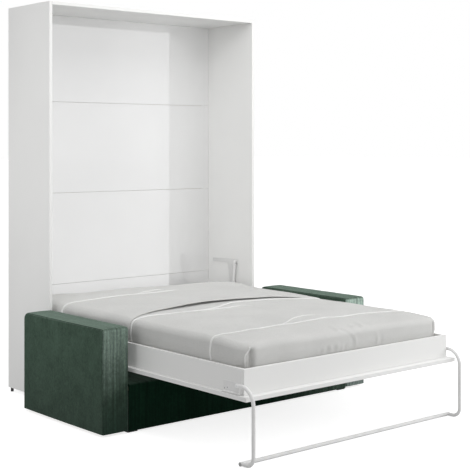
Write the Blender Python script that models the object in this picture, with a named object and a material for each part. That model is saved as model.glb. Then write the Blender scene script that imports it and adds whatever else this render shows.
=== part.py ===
# Vertical wall bed with a two-arm sofa in front of it, with the bed folded down.
# Lengths are in metres, Z is up and the object faces -Y. Places along Y are counted from the
# front plane of the cabinet, positive towards the wall, until the root empty centres the whole.

import math

import bmesh
import bpy
from mathutils import Matrix, Vector

# Fits
GAP = 0.0003  # between pieces that touch
OVERRUN = 0.005  # of a cutter past the face it cuts

# Mattress and its covers
MATTRESS_WIDTH = 1.400
MATTRESS_LENGTH = 2.000
MATTRESS_HEIGHT = 0.190
MATTRESS_FIT = 0.003  # to the rails round it
MATTRESS_EDGE = 0.050  # radius along the top edges
MATTRESS_CORNER = 0.070  # radius of the upright corners
MATTRESS_CROWN = 0.012
MATTRESS_DRAW_IN = 0.004  # of the long sides between the corners
FOOT_FALL_LENGTH = 0.300  # over which the top falls towards the foot
FOOT_FALL = 0.034
COVER_THICKNESS = 0.005  # foot cover
HEAD_COVER_THICKNESS = 0.016
LIP_CLEARANCE = 0.006  # open slot under the front edge of the head cover
LIP_LENGTH = 0.050
FOLD_FROM_FOOT = 1.000  # from the foot of the mattress to the end of the foot cover

# Bed frame
RAIL_THICKNESS = 0.018
RAIL_HEIGHT = 0.120
UNDERBED_CLEARANCE = 0.047  # between the sofa's seat and the underside of the front panel
FRONT_THICKNESS = 0.020
FRONT_SIDE_LIP = 0.024  # of the front panel past the side rails
FRONT_FOOT_LIP = 0.040
LEDGER_WIDTH = 0.020
LEDGER_HEIGHT = 0.020
BEAM_WIDTH = 0.040
BEAM_HEIGHT = 0.032
SLAT_COUNT = 12
SLAT_WIDTH = 0.060
SLAT_THICKNESS = 0.010
TAPE_WIDTH = 0.030
TAPE_THICKNESS = 0.003
TAPE_SINK = 0.002  # of the tapes into the slats they are stapled to
TAPE_FROM_SIDE = 0.180

# Bed pivot and cabinet
PIVOT_FROM_RAIL_TOP = 0.0175
PIVOT_RADIUS = 0.008
PIVOT_FIT = 0.0005
PANEL = 0.019
CABINET_DEPTH = 0.468
SIDE_CLEARANCE = 0.005  # between the front panel and each cabinet side
HEAD_CLEARANCE = 0.026  # between the head of the bed and the back boards
TOP_CLEARANCE = 0.004  # between the unfolded leg and the cabinet top, with the bed upright
BACK_INSET = 0.021  # of the face of the back boards from the wall
BACK_THICKNESS = 0.016
BACK_LIFT = 0.050  # of the lowest back board above the floor
BACK_SEAM = 0.0010
BACK_BOARD_PITCH = 0.559
BACK_BOARD_COUNT = 4
BATTEN_HEIGHT = 0.045
BATTEN_INSET = 0.050
WALL_RAIL_LENGTH = 1.200
WALL_RAIL_HEIGHT = 0.040
WALL_RAIL_FROM_TOP = 0.045
PLINTH_CLEARANCE = 0.022  # under the front panel, with the bed upright
STRETCHER_HEIGHT = 0.120
GLIDE_HEIGHT = 0.022
GLIDE_RADIUS = 0.009
GLIDE_INSET = 0.030
BOARD_EASE = 0.0010  # width of the eased edges of the boards

# Hinge plates and gas springs
PLATE_THICKNESS = 0.003
WALL_PLATE_FRONT = 0.050  # of the cabinet plate before the pivot
WALL_PLATE_REAR = 0.085
WALL_PLATE_BELOW = 0.070
WALL_PLATE_ABOVE = 0.060
ARM_RISE = 0.2855  # of the arm's top above the pivot
ARM_REACH = 0.1225  # of the arm's top behind the pivot
ARM_WIDTH = 0.048
STRAP_FROM_BACK = 0.047  # of the strap's end from the back boards
STRAP_HEIGHT = 0.022
STRAP_DROP = 0.008  # of the strap's top below the arm's
LUG_HEIGHT = 0.034
LUG_REACH = 0.016  # of the lug past the spring's upper pivot
SPRING_TOP_REAR = 0.032  # of the spring's upper pivot behind the bed pivot
SPRING_TOP_RISE = 0.2695
SPRING_FOOT_REAR = 0.055  # of the spring's lower pivot behind the bed pivot
SPRING_FOOT_RISE = 0.010
SPRING_RADIUS = 0.009
SPRING_BODY_SHARE = 0.67  # of the closed length of the spring
SPRING_BORE_SHARE = 0.55  # of the body
SPRING_ROD_RADIUS = 0.004
SPRING_EYE_RADIUS = 0.009
SPRING_EYE_WIDTH = 0.014
SPRING_NECK_RADIUS = 0.005
SPRING_NECK = 0.014
STUD_RADIUS = 0.005
BED_PLATE_FRONT = 0.060
BED_PLATE_REAR = 0.085
BED_PLATE_TOP_MARGIN = 0.001

# Folding leg
LEG_TUBE = 0.009  # outer radius
LEG_WALL = 0.0015
LEG_REACH = 0.079  # of the upright tubes past the foot rail
LEG_BEND = 0.080
LEG_LOW_BEND = 0.045
LEG_BEARING_RISE = 0.044  # of the pins above the front panel
LEG_PIVOT_INSET = 0.029  # of the pivot from the foot rail's face
LEG_TAIL = 0.010  # of the tube past its pivot
LEG_TUBE_OUT = 0.0135  # of the tube's axis from the side rail's face
LEG_PIN_RADIUS = 0.004
LEG_PIN_FIT = 0.0003
BAR_RADIUS = 0.010
BAR_WALL = 0.0015
BAR_SETBACK = 0.003  # of the bar's axis before the foot rail's face, towards the head
BAR_END = 0.0005  # of the bar past the outside of each tube
BRACKET_LENGTH = 0.131
BRACKET_HEIGHT = 0.049
STOP_FROM_PIVOT = 0.0145  # of the bracket's foot end, with its stop, from the pivot
BRACKET_FLANGE = 0.019
BRACKET_THICKNESS = 0.003

# Sofa
ARM_FROM_CABINET = 0.027
SOFA_DEPTH = 0.782
SOFA_ARM_WIDTH = 0.163
SOFA_ARM_HEIGHT = 0.544
SOFA_ARM_CLEARANCE = 0.020  # of the arms outside the cabinet's sides
SOFA_LIFT = 0.014
ARM_EDGE = 0.014
ARM_COVER = 0.012
ARM_BASE = 0.016
ARM_CROWN = 0.003
SEAT_HEIGHT = 0.251
SEAT_FRONT_COVER = 0.012
SEAT_TOP_COVER = 0.018
SEAT_EDGE = 0.012
DECK_THICKNESS = 0.018
FRAME_BOARD = 0.018
FRAME_FOOT = 0.060
SOFA_GLIDE_RADIUS = 0.016
SOFA_GLIDE_INSET = 0.060

# Roundness
SHARP_ANGLE = 35  # degrees, above which an edge is shaded sharp
CORNER_STEPS = 4
EDGE_STEPS = 4
TUBE_SIDES = 16
PIN_SIDES = 24
BEND_STEPS = 10
BED_STEPS = (14, 8)  # along the long and the short sides of the bedding
ARM_STEPS = (2, 1)
CROWN_SHARES = (0.12, 0.30, 0.55, 0.85)  # of the way from the edge to the middle of the bedding
ARM_CROWN_SHARES = (0.6,)
LEAST_CORNER_SHARE = 0.3  # of a corner's radius, kept where a ring is drawn in

# Places that follow from the sizes
BACK_FACE_Y = CABINET_DEPTH - BACK_INSET
BED_HEAD_Y = BACK_FACE_Y - HEAD_CLEARANCE
MATTRESS_HEAD_Y = BED_HEAD_Y - RAIL_THICKNESS - MATTRESS_FIT
MATTRESS_FOOT_Y = MATTRESS_HEAD_Y - MATTRESS_LENGTH
BED_FOOT_Y = MATTRESS_FOOT_Y - MATTRESS_FIT - RAIL_THICKNESS
RAIL_INSIDE_X = MATTRESS_WIDTH / 2 + MATTRESS_FIT
RAIL_OUTSIDE_X = RAIL_INSIDE_X + RAIL_THICKNESS
FRONT_EDGE_X = RAIL_OUTSIDE_X + FRONT_SIDE_LIP
CABINET_INSIDE_X = FRONT_EDGE_X + SIDE_CLEARANCE
CABINET_OUTSIDE_X = CABINET_INSIDE_X + PANEL
UNDERBED_HEIGHT = SEAT_HEIGHT + UNDERBED_CLEARANCE
FRONT_TOP_Z = UNDERBED_HEIGHT + FRONT_THICKNESS
RAIL_TOP_Z = FRONT_TOP_Z + RAIL_HEIGHT
SLAT_REST_Z = FRONT_TOP_Z + BEAM_HEIGHT
MATTRESS_REST_Z = SLAT_REST_Z + 2 * GAP + SLAT_THICKNESS - TAPE_SINK + TAPE_THICKNESS
PIVOT_Z = RAIL_TOP_Z - PIVOT_FROM_RAIL_TOP
PIVOT_Y = PIVOT_Z - UNDERBED_HEIGHT  # so that the front panel closes flush with the cabinet
ARM_TOP_Z = PIVOT_Z + ARM_RISE
ARM_TOP_REAR_Y = PIVOT_Y + ARM_REACH
STRAP_REAR_Y = BACK_FACE_Y - STRAP_FROM_BACK
PLINTH_TOP_Z = PIVOT_Z + PIVOT_Y - BED_HEAD_Y - PLINTH_CLEARANCE
LEG_BEARING_Z = FRONT_TOP_Z + LEG_BEARING_RISE
LEG_UPRIGHT_Y = BED_FOOT_Y - LEG_REACH
LEG_PIVOT_Y = BED_FOOT_Y + LEG_PIVOT_INSET
LEG_TUBE_X = RAIL_OUTSIDE_X + LEG_TUBE_OUT
BAR_Y = BED_FOOT_Y + BAR_SETBACK
CABINET_TOP_INSIDE_Z = PIVOT_Z + PIVOT_Y - LEG_UPRIGHT_Y + LEG_TUBE + TOP_CLEARANCE
CABINET_HEIGHT = CABINET_TOP_INSIDE_Z + PANEL
FRONT_Y = (LEG_TUBE - LEG_UPRIGHT_Y - CABINET_DEPTH) / 2  # of the cabinet front, from the middle
FOLD_Y = MATTRESS_FOOT_Y + FOLD_FROM_FOOT
SPRING_TOP_Y = PIVOT_Y + SPRING_TOP_REAR
SPRING_TOP_Z = PIVOT_Z + SPRING_TOP_RISE
SPRING_FOOT_Y = PIVOT_Y + SPRING_FOOT_REAR
SPRING_FOOT_Z = PIVOT_Z + SPRING_FOOT_RISE
SPRING_X = RAIL_OUTSIDE_X + LEG_TUBE_OUT
SOFA_BACK_Y = -ARM_FROM_CABINET
SOFA_FRONT_Y = SOFA_BACK_Y - SOFA_DEPTH
SOFA_INNER_X = CABINET_OUTSIDE_X + SOFA_ARM_CLEARANCE
SOFA_OUTER_X = SOFA_INNER_X + SOFA_ARM_WIDTH

# Finishes: colour, roughness and metallic value
FINISHES = {
    "white_board": ((0.80, 0.80, 0.79), 0.35, 0.0),
    "gloss_board": ((0.84, 0.84, 0.84), 0.18, 0.0),
    "bare_board": ((0.55, 0.47, 0.36), 0.70, 0.0),
    "slat_wood": ((0.60, 0.46, 0.29), 0.55, 0.0),
    "painted_steel": ((0.62, 0.62, 0.61), 0.35, 0.2),
    "zinc_steel": ((0.55, 0.56, 0.57), 0.35, 0.9),
    "dark_steel": ((0.10, 0.10, 0.10), 0.40, 0.6),
    "black_plastic": ((0.02, 0.02, 0.02), 0.50, 0.0),
    "mattress_foam": ((0.80, 0.80, 0.78), 0.95, 0.0),
    "grey_cotton": ((0.62, 0.62, 0.60), 0.90, 0.0),
    "green_corduroy": ((0.045, 0.085, 0.062), 0.90, 0.0),
    "foam": ((0.75, 0.70, 0.50), 0.95, 0.0),
}


def clear_scene():
    for item in list(bpy.data.objects):
        bpy.data.objects.remove(item, do_unlink=True)


def finish_material(name, kind):
    colour, roughness, metallic = FINISHES[kind]
    material = bpy.data.materials.new(name + "_finish")
    material.use_nodes = True
    shader = material.node_tree.nodes["Principled BSDF"]
    shader.inputs["Base Color"].default_value = (*colour, 1.0)
    shader.inputs["Roughness"].default_value = roughness
    shader.inputs["Metallic"].default_value = metallic
    material.diffuse_color = (*colour, 1.0)
    return material


def joint_empty(name, place, parent):
    """An empty on a joint's axis, which the pieces that turn there are parented to."""
    empty = bpy.data.objects.new(name, None)
    bpy.context.collection.objects.link(empty)
    empty["place"] = tuple(place)
    empty.parent = parent
    empty.location = Vector(place) - (Vector(parent["place"]) if parent else Vector())
    return empty


def piece(name, mesh, parent, kind=None, smooth=False):
    """Makes an object of a bmesh drawn in the cabinet's frame and puts its origin at its parent's."""
    mesh.transform(Matrix.Translation(-Vector(parent["place"])))
    bmesh.ops.recalc_face_normals(mesh, faces=mesh.faces)
    data = bpy.data.meshes.new(name)
    mesh.to_mesh(data)
    mesh.free()
    item = bpy.data.objects.new(name, data)
    bpy.context.collection.objects.link(item)
    item.parent = parent
    if smooth:
        data.shade_smooth()
        data.set_sharp_from_angle(angle=math.radians(SHARP_ANGLE))
    if kind:
        data.materials.append(finish_material(name, kind))
    else:
        item.hide_render = True
        item.display_type = "WIRE"
    return item


def ease(item, width=BOARD_EASE, segments=2):
    bevel = item.modifiers.new("eased_edges", "BEVEL")
    bevel.width = width
    bevel.segments = segments
    bevel.limit_method = "ANGLE"


def combine(item, other, operation):
    boolean = item.modifiers.new(operation.lower(), "BOOLEAN")
    boolean.operation = operation
    boolean.solver = "EXACT"
    boolean.object = other


def box(mesh, x_range, y_range, z_range):
    """Adds a box between two values on each axis."""
    low = Vector((min(x_range), min(y_range), min(z_range)))
    high = Vector((max(x_range), max(y_range), max(z_range)))
    made = bmesh.ops.create_cube(mesh, size=1.0)["verts"]
    for vert in made:
        vert.co = Vector(
            (high[axis] if vert.co[axis] > 0 else low[axis]) for axis in range(3)
        )
    return made


def board(name, parent, kind, x_range, y_range, z_range, eased=True):
    mesh = bmesh.new()
    box(mesh, x_range, y_range, z_range)
    item = piece(name, mesh, parent, kind)
    if eased:
        ease(item)
    return item


def plate(mesh, outline, x_range):
    """Adds a flat plate whose outline lies in the YZ plane."""
    low, high = sorted(x_range)
    rings = [[mesh.verts.new((x, y, z)) for y, z in outline] for x in (low, high)]
    mesh.faces.new(rings[0])
    mesh.faces.new(list(reversed(rings[1])))
    for i in range(len(outline)):
        j = (i + 1) % len(outline)
        mesh.faces.new((rings[0][i], rings[1][i], rings[1][j], rings[0][j]))


def rod_x(mesh, x_range, y, z, radius, sides=PIN_SIDES):
    """Adds a round rod along X."""
    low, high = sorted(x_range)
    angles = [math.tau * k / sides for k in range(sides)]
    ring = [(y + radius * math.cos(a), z + radius * math.sin(a)) for a in angles]
    plate(mesh, ring, (low, high))


def rod_z(mesh, x, y, z_range, radius, sides=PIN_SIDES):
    """Adds a round rod along Z."""
    low, high = sorted(z_range)
    rings = []
    for z in (low, high):
        rings.append(
            [
                mesh.verts.new(
                    (
                        x + radius * math.cos(math.tau * k / sides),
                        y + radius * math.sin(math.tau * k / sides),
                        z,
                    )
                )
                for k in range(sides)
            ]
        )
    cap_and_join(mesh, rings)


def cap_and_join(mesh, rings, closed=False):
    """Joins rings of vertices in order, and caps the first and last or joins them."""
    pairs = list(zip(rings, rings[1:]))
    if closed:
        pairs.append((rings[-1], rings[0]))
    for lower, upper in pairs:
        count = len(lower)
        for i in range(count):
            j = (i + 1) % count
            mesh.faces.new((lower[i], lower[j], upper[j], upper[i]))
    if not closed:
        mesh.faces.new(list(reversed(rings[0])))
        mesh.faces.new(rings[-1])


def tube_rings(mesh, path, x, radius, sides=TUBE_SIDES):
    """Rings of a round tube along a path in the YZ plane at x."""
    rings = []
    for i, (y, z) in enumerate(path):
        before = path[max(i - 1, 0)]
        after = path[min(i + 1, len(path) - 1)]
        along = Vector((0, after[0] - before[0], after[1] - before[1])).normalized()
        across = Vector((1, 0, 0))
        up = along.cross(across)
        ring = []
        for k in range(sides):
            angle = math.tau * k / sides
            offset = radius * (math.cos(angle) * across + math.sin(angle) * up)
            ring.append(mesh.verts.new(Vector((x, y, z)) + offset))
        rings.append(ring)
    return rings


def arc(centre, radius, start, end, steps):
    """Points of an arc in the YZ plane, from one angle to another in degrees."""
    points = []
    for k in range(steps + 1):
        angle = math.radians(start + (end - start) * k / steps)
        points.append(
            (centre[0] + radius * math.cos(angle), centre[1] + radius * math.sin(angle))
        )
    return points


def rounded_outline(half_x, y_foot, y_head, radius, draw_in, long_steps, short_steps):
    """Points of a rectangle with round corners, its long sides drawn in between them."""
    centres = (
        (half_x - radius, y_head - radius, 0),
        (-half_x + radius, y_head - radius, 90),
        (-half_x + radius, y_foot + radius, 180),
        (half_x - radius, y_foot + radius, 270),
    )
    steps = (short_steps, long_steps, short_steps, long_steps)
    points = []
    for k, (x, y, start) in enumerate(centres):
        points += arc((x, y), radius, start, start + 90, CORNER_STEPS)
        last = points[-1]
        following = centres[(k + 1) % 4]
        turn = math.radians(start + 90)
        first = (
            following[0] + radius * math.cos(turn),
            following[1] + radius * math.sin(turn),
        )
        for step in range(1, steps[k]):
            share = step / steps[k]
            pull = draw_in * math.sin(math.pi * share) if k % 2 else 0
            x_here = last[0] + (first[0] - last[0]) * share
            x_here -= math.copysign(pull, x_here)
            y_here = last[1] + (first[1] - last[1]) * share
            points.append((x_here, y_here))
    return points


def pad_rings(mesh, size, offset, z_low, top_inset_shares, steps):
    """Rings of a pad with rounded top edges and a crown, grown by an offset on its open sides."""
    half_x = size["half_x"] + offset
    y_foot = size["y_foot"] - offset
    y_head = size["y_head"] + offset
    edge = size["edge"] + offset
    corner = size["corner"] + offset
    z_top = size["z_top"] + offset
    levels = [(0, z_low), (0, (z_low + z_top - edge) / 2)]
    for k in range(EDGE_STEPS + 1):
        angle = math.pi / 2 * k / EDGE_STEPS
        levels.append((edge * (1 - math.cos(angle)), z_top - edge + edge * math.sin(angle)))
    for share in top_inset_shares:
        rise = size["crown"] * math.sin(math.pi / 2 * share)
        levels.append((edge + (half_x - edge) * share, z_top + rise))
    rings = []
    for inset, z in levels:
        radius = max(corner - inset, corner * LEAST_CORNER_SHARE)
        outline = rounded_outline(
            half_x - inset, y_foot + inset, y_head - inset, radius, size["draw_in"], *steps
        )
        ring = []
        for x, y in outline:
            fallen = 0
            if size["fall"]:
                reach = (size["y_foot"] + size["fall_length"] - y) / size["fall_length"]
                fallen = size["fall"] * min(max(reach, 0), 1) ** 2
            height = (z - size["z_hem"]) / (size["z_top"] - size["z_hem"])
            ring.append(mesh.verts.new((x, y, z - fallen * max(height, 0))))
        rings.append(ring)
    return rings


def shell_mesh(size, inner, outer, z_low, top_inset_shares, steps):
    """A pad's skin between two offsets, open underneath."""
    mesh = bmesh.new()
    outside = pad_rings(mesh, size, outer, z_low, top_inset_shares, steps)
    inside = pad_rings(mesh, size, inner, z_low, top_inset_shares, steps)
    for rings in (outside, inside):
        for lower, upper in zip(rings, rings[1:]):
            for i in range(len(lower)):
                j = (i + 1) % len(lower)
                mesh.faces.new((lower[i], lower[j], upper[j], upper[i]))
        mesh.faces.new(rings[-1])
    for i in range(len(outside[0])):
        j = (i + 1) % len(outside[0])
        mesh.faces.new((outside[0][i], outside[0][j], inside[0][j], inside[0][i]))
    bmesh.ops.recalc_face_normals(mesh, faces=mesh.faces)
    return mesh


def pad_mesh(size, offset, z_low, top_inset_shares, steps):
    """The whole solid of a pad grown by an offset."""
    mesh = bmesh.new()
    cap_and_join(mesh, pad_rings(mesh, size, offset, z_low, top_inset_shares, steps))
    return mesh


def trim(mesh, y, keep_foot):
    """Cuts a mesh square to Y and keeps the foot or the head side of the cut."""
    normal = (0, 1, 0) if keep_foot else (0, -1, 0)
    bmesh.ops.bisect_plane(
        mesh,
        geom=mesh.verts[:] + mesh.edges[:] + mesh.faces[:],
        plane_co=(0, y, 0),
        plane_no=normal,
        clear_outer=True,
    )
    open_edges = [edge for edge in mesh.edges if edge.is_boundary]
    bmesh.ops.edgeloop_fill(mesh, edges=open_edges)
    return mesh


def make_cabinet(root):
    """The open cabinet: sides, top, back boards and what stiffens them."""
    for side, sign in (("left", -1), ("right", 1)):
        board(
            f"cabinet_side_{side}",
            root,
            "white_board",
            (sign * CABINET_INSIDE_X, sign * CABINET_OUTSIDE_X),
            (0, CABINET_DEPTH),
            (GLIDE_HEIGHT, CABINET_HEIGHT),
        )
        for place, y in (("front", GLIDE_INSET), ("rear", CABINET_DEPTH - GLIDE_INSET)):
            mesh = bmesh.new()
            x = sign * (CABINET_INSIDE_X + CABINET_OUTSIDE_X) / 2
            rod_z(mesh, x, y, (0, GLIDE_HEIGHT - GAP), GLIDE_RADIUS)
            piece(f"cabinet_glide_{side}_{place}", mesh, root, "black_plastic", smooth=True)
    between = (-CABINET_INSIDE_X + GAP, CABINET_INSIDE_X - GAP)
    board(
        "cabinet_top",
        root,
        "white_board",
        between,
        (0, CABINET_DEPTH),
        (CABINET_TOP_INSIDE_Z, CABINET_HEIGHT),
    )
    board(
        "cabinet_plinth",
        root,
        "white_board",
        between,
        (0, PANEL),
        (GLIDE_HEIGHT, PLINTH_TOP_Z),
    )
    board(
        "cabinet_stretcher",
        root,
        "white_board",
        between,
        (BACK_FACE_Y - GAP - PANEL, BACK_FACE_Y - GAP),
        (GLIDE_HEIGHT, GLIDE_HEIGHT + STRETCHER_HEIGHT),
    )
    back_rear_y = BACK_FACE_Y + BACK_THICKNESS
    for k in range(BACK_BOARD_COUNT):
        low = BACK_LIFT + k * BACK_BOARD_PITCH
        high = low + BACK_BOARD_PITCH - BACK_SEAM
        if k == BACK_BOARD_COUNT - 1:
            high = CABINET_TOP_INSIDE_Z - GAP
        board(
            f"back_board_{k + 1}",
            root,
            "gloss_board",
            between,
            (BACK_FACE_Y, back_rear_y),
            (low, high),
        )
        if k:
            seam = low - BACK_SEAM / 2
            board(
                f"back_batten_{k}",
                root,
                "bare_board",
                (-CABINET_INSIDE_X + BATTEN_INSET, CABINET_INSIDE_X - BATTEN_INSET),
                (back_rear_y + GAP, CABINET_DEPTH),
                (seam - BATTEN_HEIGHT / 2, seam + BATTEN_HEIGHT / 2),
                eased=False,
            )
    rail_top = CABINET_TOP_INSIDE_Z - WALL_RAIL_FROM_TOP
    board(
        "wall_rail",
        root,
        "zinc_steel",
        (-WALL_RAIL_LENGTH / 2, WALL_RAIL_LENGTH / 2),
        (back_rear_y + GAP, CABINET_DEPTH),
        (rail_top - WALL_RAIL_HEIGHT, rail_top),
        eased=False,
    )


def wall_plate_outline():
    """Outline of the steel plate on a cabinet side: a base round the pivot, an arm, a lug, a strap."""
    base_front = PIVOT_Y - WALL_PLATE_FRONT
    base_rear = PIVOT_Y + WALL_PLATE_REAR
    base_low = PIVOT_Z - WALL_PLATE_BELOW
    base_high = PIVOT_Z + WALL_PLATE_ABOVE
    strap_high = ARM_TOP_Z - STRAP_DROP
    strap_low = strap_high - STRAP_HEIGHT
    lug_front = SPRING_TOP_Y - LUG_REACH
    arm_front_top = ARM_TOP_REAR_Y - ARM_WIDTH
    return [
        (base_front, base_low),
        (base_rear, base_low),
        (base_rear, base_high),
        (ARM_TOP_REAR_Y, strap_low),
        (STRAP_REAR_Y, strap_low),
        (STRAP_REAR_Y, strap_high),
        (ARM_TOP_REAR_Y, ARM_TOP_Z),
        (lug_front, ARM_TOP_Z),
        (lug_front, ARM_TOP_Z - LUG_HEIGHT),
        (arm_front_top, ARM_TOP_Z - LUG_HEIGHT),
        (base_rear - ARM_WIDTH, base_high),
        (base_front, base_high),
    ]


def make_cabinet_plate(root, side, sign):
    """The plate on a cabinet side with the spring's upper stud, and the pin that the bed turns on."""
    outside = CABINET_INSIDE_X - GAP
    inside = outside - PLATE_THICKNESS
    mesh = bmesh.new()
    plate(mesh, wall_plate_outline(), (sign * inside, sign * outside))
    wall_plate = piece(f"hinge_plate_cabinet_{side}", mesh, root, "painted_steel")
    stud_x = (sign * (SPRING_X + SPRING_EYE_WIDTH / 2 + GAP), sign * (inside + outside) / 2)
    mesh = bmesh.new()
    rod_x(mesh, stud_x, SPRING_TOP_Y, SPRING_TOP_Z, STUD_RADIUS)
    combine(wall_plate, piece(f"stud_upper_{side}", mesh, root), "UNION")
    pin_x = (sign * (RAIL_OUTSIDE_X + GAP), sign * (inside - GAP))
    mesh = bmesh.new()
    rod_x(mesh, pin_x, PIVOT_Y, PIVOT_Z, PIVOT_RADIUS)
    piece(f"pivot_pin_{side}", mesh, root, "dark_steel", smooth=True)


def make_bed_plate(bed, side, sign):
    """The bored plate on a side rail that turns on the pin, with the spring's lower stud."""
    inside = RAIL_OUTSIDE_X + GAP
    outside = inside + PLATE_THICKNESS
    mesh = bmesh.new()
    box(
        mesh,
        (sign * inside, sign * outside),
        (PIVOT_Y - BED_PLATE_FRONT, PIVOT_Y + BED_PLATE_REAR),
        (FRONT_TOP_Z + GAP, RAIL_TOP_Z - BED_PLATE_TOP_MARGIN),
    )
    bed_plate = piece(f"hinge_plate_bed_{side}", mesh, bed, "painted_steel")
    stud_x = (sign * (inside + outside) / 2, sign * (SPRING_X - SPRING_EYE_WIDTH / 2 - GAP))
    mesh = bmesh.new()
    rod_x(mesh, stud_x, SPRING_FOOT_Y, SPRING_FOOT_Z, STUD_RADIUS)
    combine(bed_plate, piece(f"stud_lower_{side}", mesh, bed), "UNION")
    bore_x = (sign * (inside - OVERRUN), sign * (outside + OVERRUN))
    mesh = bmesh.new()
    rod_x(mesh, bore_x, PIVOT_Y, PIVOT_Z, PIVOT_RADIUS + PIVOT_FIT)
    combine(bed_plate, piece(f"pivot_bore_{side}", mesh, bed), "DIFFERENCE")


def spring_stretch(place, start, end, radius):
    """A round stretch of a gas spring between two distances from its upper pivot."""
    mesh = bmesh.new()
    rod_z(mesh, 0, 0, (-start, -end), radius)
    mesh.transform(place)
    return mesh


def spring_eye(place, distance):
    """The flat-sided eye of a gas spring at a distance from its upper pivot."""
    mesh = bmesh.new()
    half = SPRING_EYE_WIDTH / 2
    rod_x(mesh, (-half, half), 0, -distance, SPRING_EYE_RADIUS)
    mesh.transform(place)
    return mesh


def make_gas_spring(root, side, x):
    """A gas spring from a cabinet plate down to the stud behind the bed pivot."""
    top = Vector((x, SPRING_TOP_Y, SPRING_TOP_Z))
    foot = Vector((x, SPRING_FOOT_Y, SPRING_FOOT_Z))
    length = (foot - top).length
    lean = math.atan2(foot.y - top.y, top.z - foot.z)
    body_end = length * SPRING_BODY_SHARE
    bore_start = body_end * (1 - SPRING_BORE_SHARE)
    pivot = joint_empty(f"spring_pivot_{side}", top, root)
    place = Matrix.Translation(top) @ Matrix.Rotation(lean, 4, "X")

    mesh = spring_stretch(place, SPRING_NECK, body_end, SPRING_RADIUS)
    body = piece(f"gas_spring_body_{side}", mesh, pivot, "painted_steel", smooth=True)
    mesh = spring_stretch(place, 0, SPRING_NECK + OVERRUN, SPRING_NECK_RADIUS)
    combine(body, piece(f"spring_neck_{side}", mesh, pivot), "UNION")
    combine(body, piece(f"spring_eye_{side}", spring_eye(place, 0), pivot), "UNION")
    mesh = spring_stretch(place, bore_start, body_end + OVERRUN, SPRING_ROD_RADIUS + GAP)
    combine(body, piece(f"spring_bore_{side}", mesh, pivot), "DIFFERENCE")

    mesh = spring_stretch(place, bore_start + OVERRUN, length, SPRING_ROD_RADIUS)
    rod = piece(f"gas_spring_rod_{side}", mesh, pivot, "zinc_steel", smooth=True)
    combine(rod, piece(f"rod_eye_{side}", spring_eye(place, length), pivot), "UNION")


def make_bed_frame(bed):
    """The front panel, the rails round the mattress and what carries the slats."""
    board(
        "bed_front_panel",
        bed,
        "white_board",
        (-FRONT_EDGE_X, FRONT_EDGE_X),
        (BED_FOOT_Y - FRONT_FOOT_LIP, BED_HEAD_Y),
        (UNDERBED_HEIGHT, FRONT_TOP_Z),
    )
    heights = (FRONT_TOP_Z + GAP, RAIL_TOP_Z)
    inner_foot = BED_FOOT_Y + RAIL_THICKNESS + GAP
    inner_head = BED_HEAD_Y - RAIL_THICKNESS - GAP
    across = (-RAIL_OUTSIDE_X, RAIL_OUTSIDE_X)
    foot_range = (BED_FOOT_Y, BED_FOOT_Y + RAIL_THICKNESS)
    board("foot_rail", bed, "white_board", across, foot_range, heights)
    head_range = (BED_HEAD_Y - RAIL_THICKNESS, BED_HEAD_Y)
    board("head_rail", bed, "white_board", across, head_range, heights)
    for side, sign in (("left", -1), ("right", 1)):
        board(
            f"side_rail_{side}",
            bed,
            "white_board",
            (sign * RAIL_INSIDE_X, sign * RAIL_OUTSIDE_X),
            (inner_foot, inner_head),
            heights,
        )
        ledger_x = RAIL_INSIDE_X - GAP
        board(
            f"slat_ledger_{side}",
            bed,
            "bare_board",
            (sign * (ledger_x - LEDGER_WIDTH), sign * ledger_x),
            (inner_foot, inner_head),
            (SLAT_REST_Z - LEDGER_HEIGHT, SLAT_REST_Z),
            eased=False,
        )
    board(
        "centre_beam",
        bed,
        "bare_board",
        (-BEAM_WIDTH / 2, BEAM_WIDTH / 2),
        (inner_foot, inner_head),
        (FRONT_TOP_Z + GAP, SLAT_REST_Z),
        eased=False,
    )
    mesh = bmesh.new()
    slat_half = RAIL_INSIDE_X - 2 * GAP
    slat_low = SLAT_REST_Z + GAP
    slat_high = slat_low + SLAT_THICKNESS
    room = MATTRESS_LENGTH - SLAT_WIDTH
    for k in range(SLAT_COUNT):
        foot = MATTRESS_FOOT_Y + room * k / (SLAT_COUNT - 1)
        box(mesh, (-slat_half, slat_half), (foot, foot + SLAT_WIDTH), (slat_low, slat_high))
    slats = piece("slat_roll", mesh, bed, "slat_wood")
    mesh = bmesh.new()
    tape_low = slat_high - TAPE_SINK
    for sign in (-1, 1):
        outer = RAIL_INSIDE_X - TAPE_FROM_SIDE
        box(
            mesh,
            (sign * outer, sign * (outer - TAPE_WIDTH)),
            (MATTRESS_FOOT_Y + SLAT_WIDTH / 2, MATTRESS_HEAD_Y - SLAT_WIDTH / 2),
            (tape_low, tape_low + TAPE_THICKNESS),
        )
    tapes = piece("slat_tapes", mesh, bed)
    combine(slats, tapes, "UNION")


def bedding_size():
    """The named sizes of the mattress's form, which the covers over it follow."""
    return {
        "half_x": MATTRESS_WIDTH / 2,
        "y_foot": MATTRESS_FOOT_Y,
        "y_head": MATTRESS_HEAD_Y,
        "z_hem": RAIL_TOP_Z + GAP,
        "z_top": MATTRESS_REST_Z + MATTRESS_HEIGHT,
        "edge": MATTRESS_EDGE,
        "corner": MATTRESS_CORNER,
        "crown": MATTRESS_CROWN,
        "draw_in": MATTRESS_DRAW_IN,
        "fall": FOOT_FALL,
        "fall_length": FOOT_FALL_LENGTH,
    }


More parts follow.
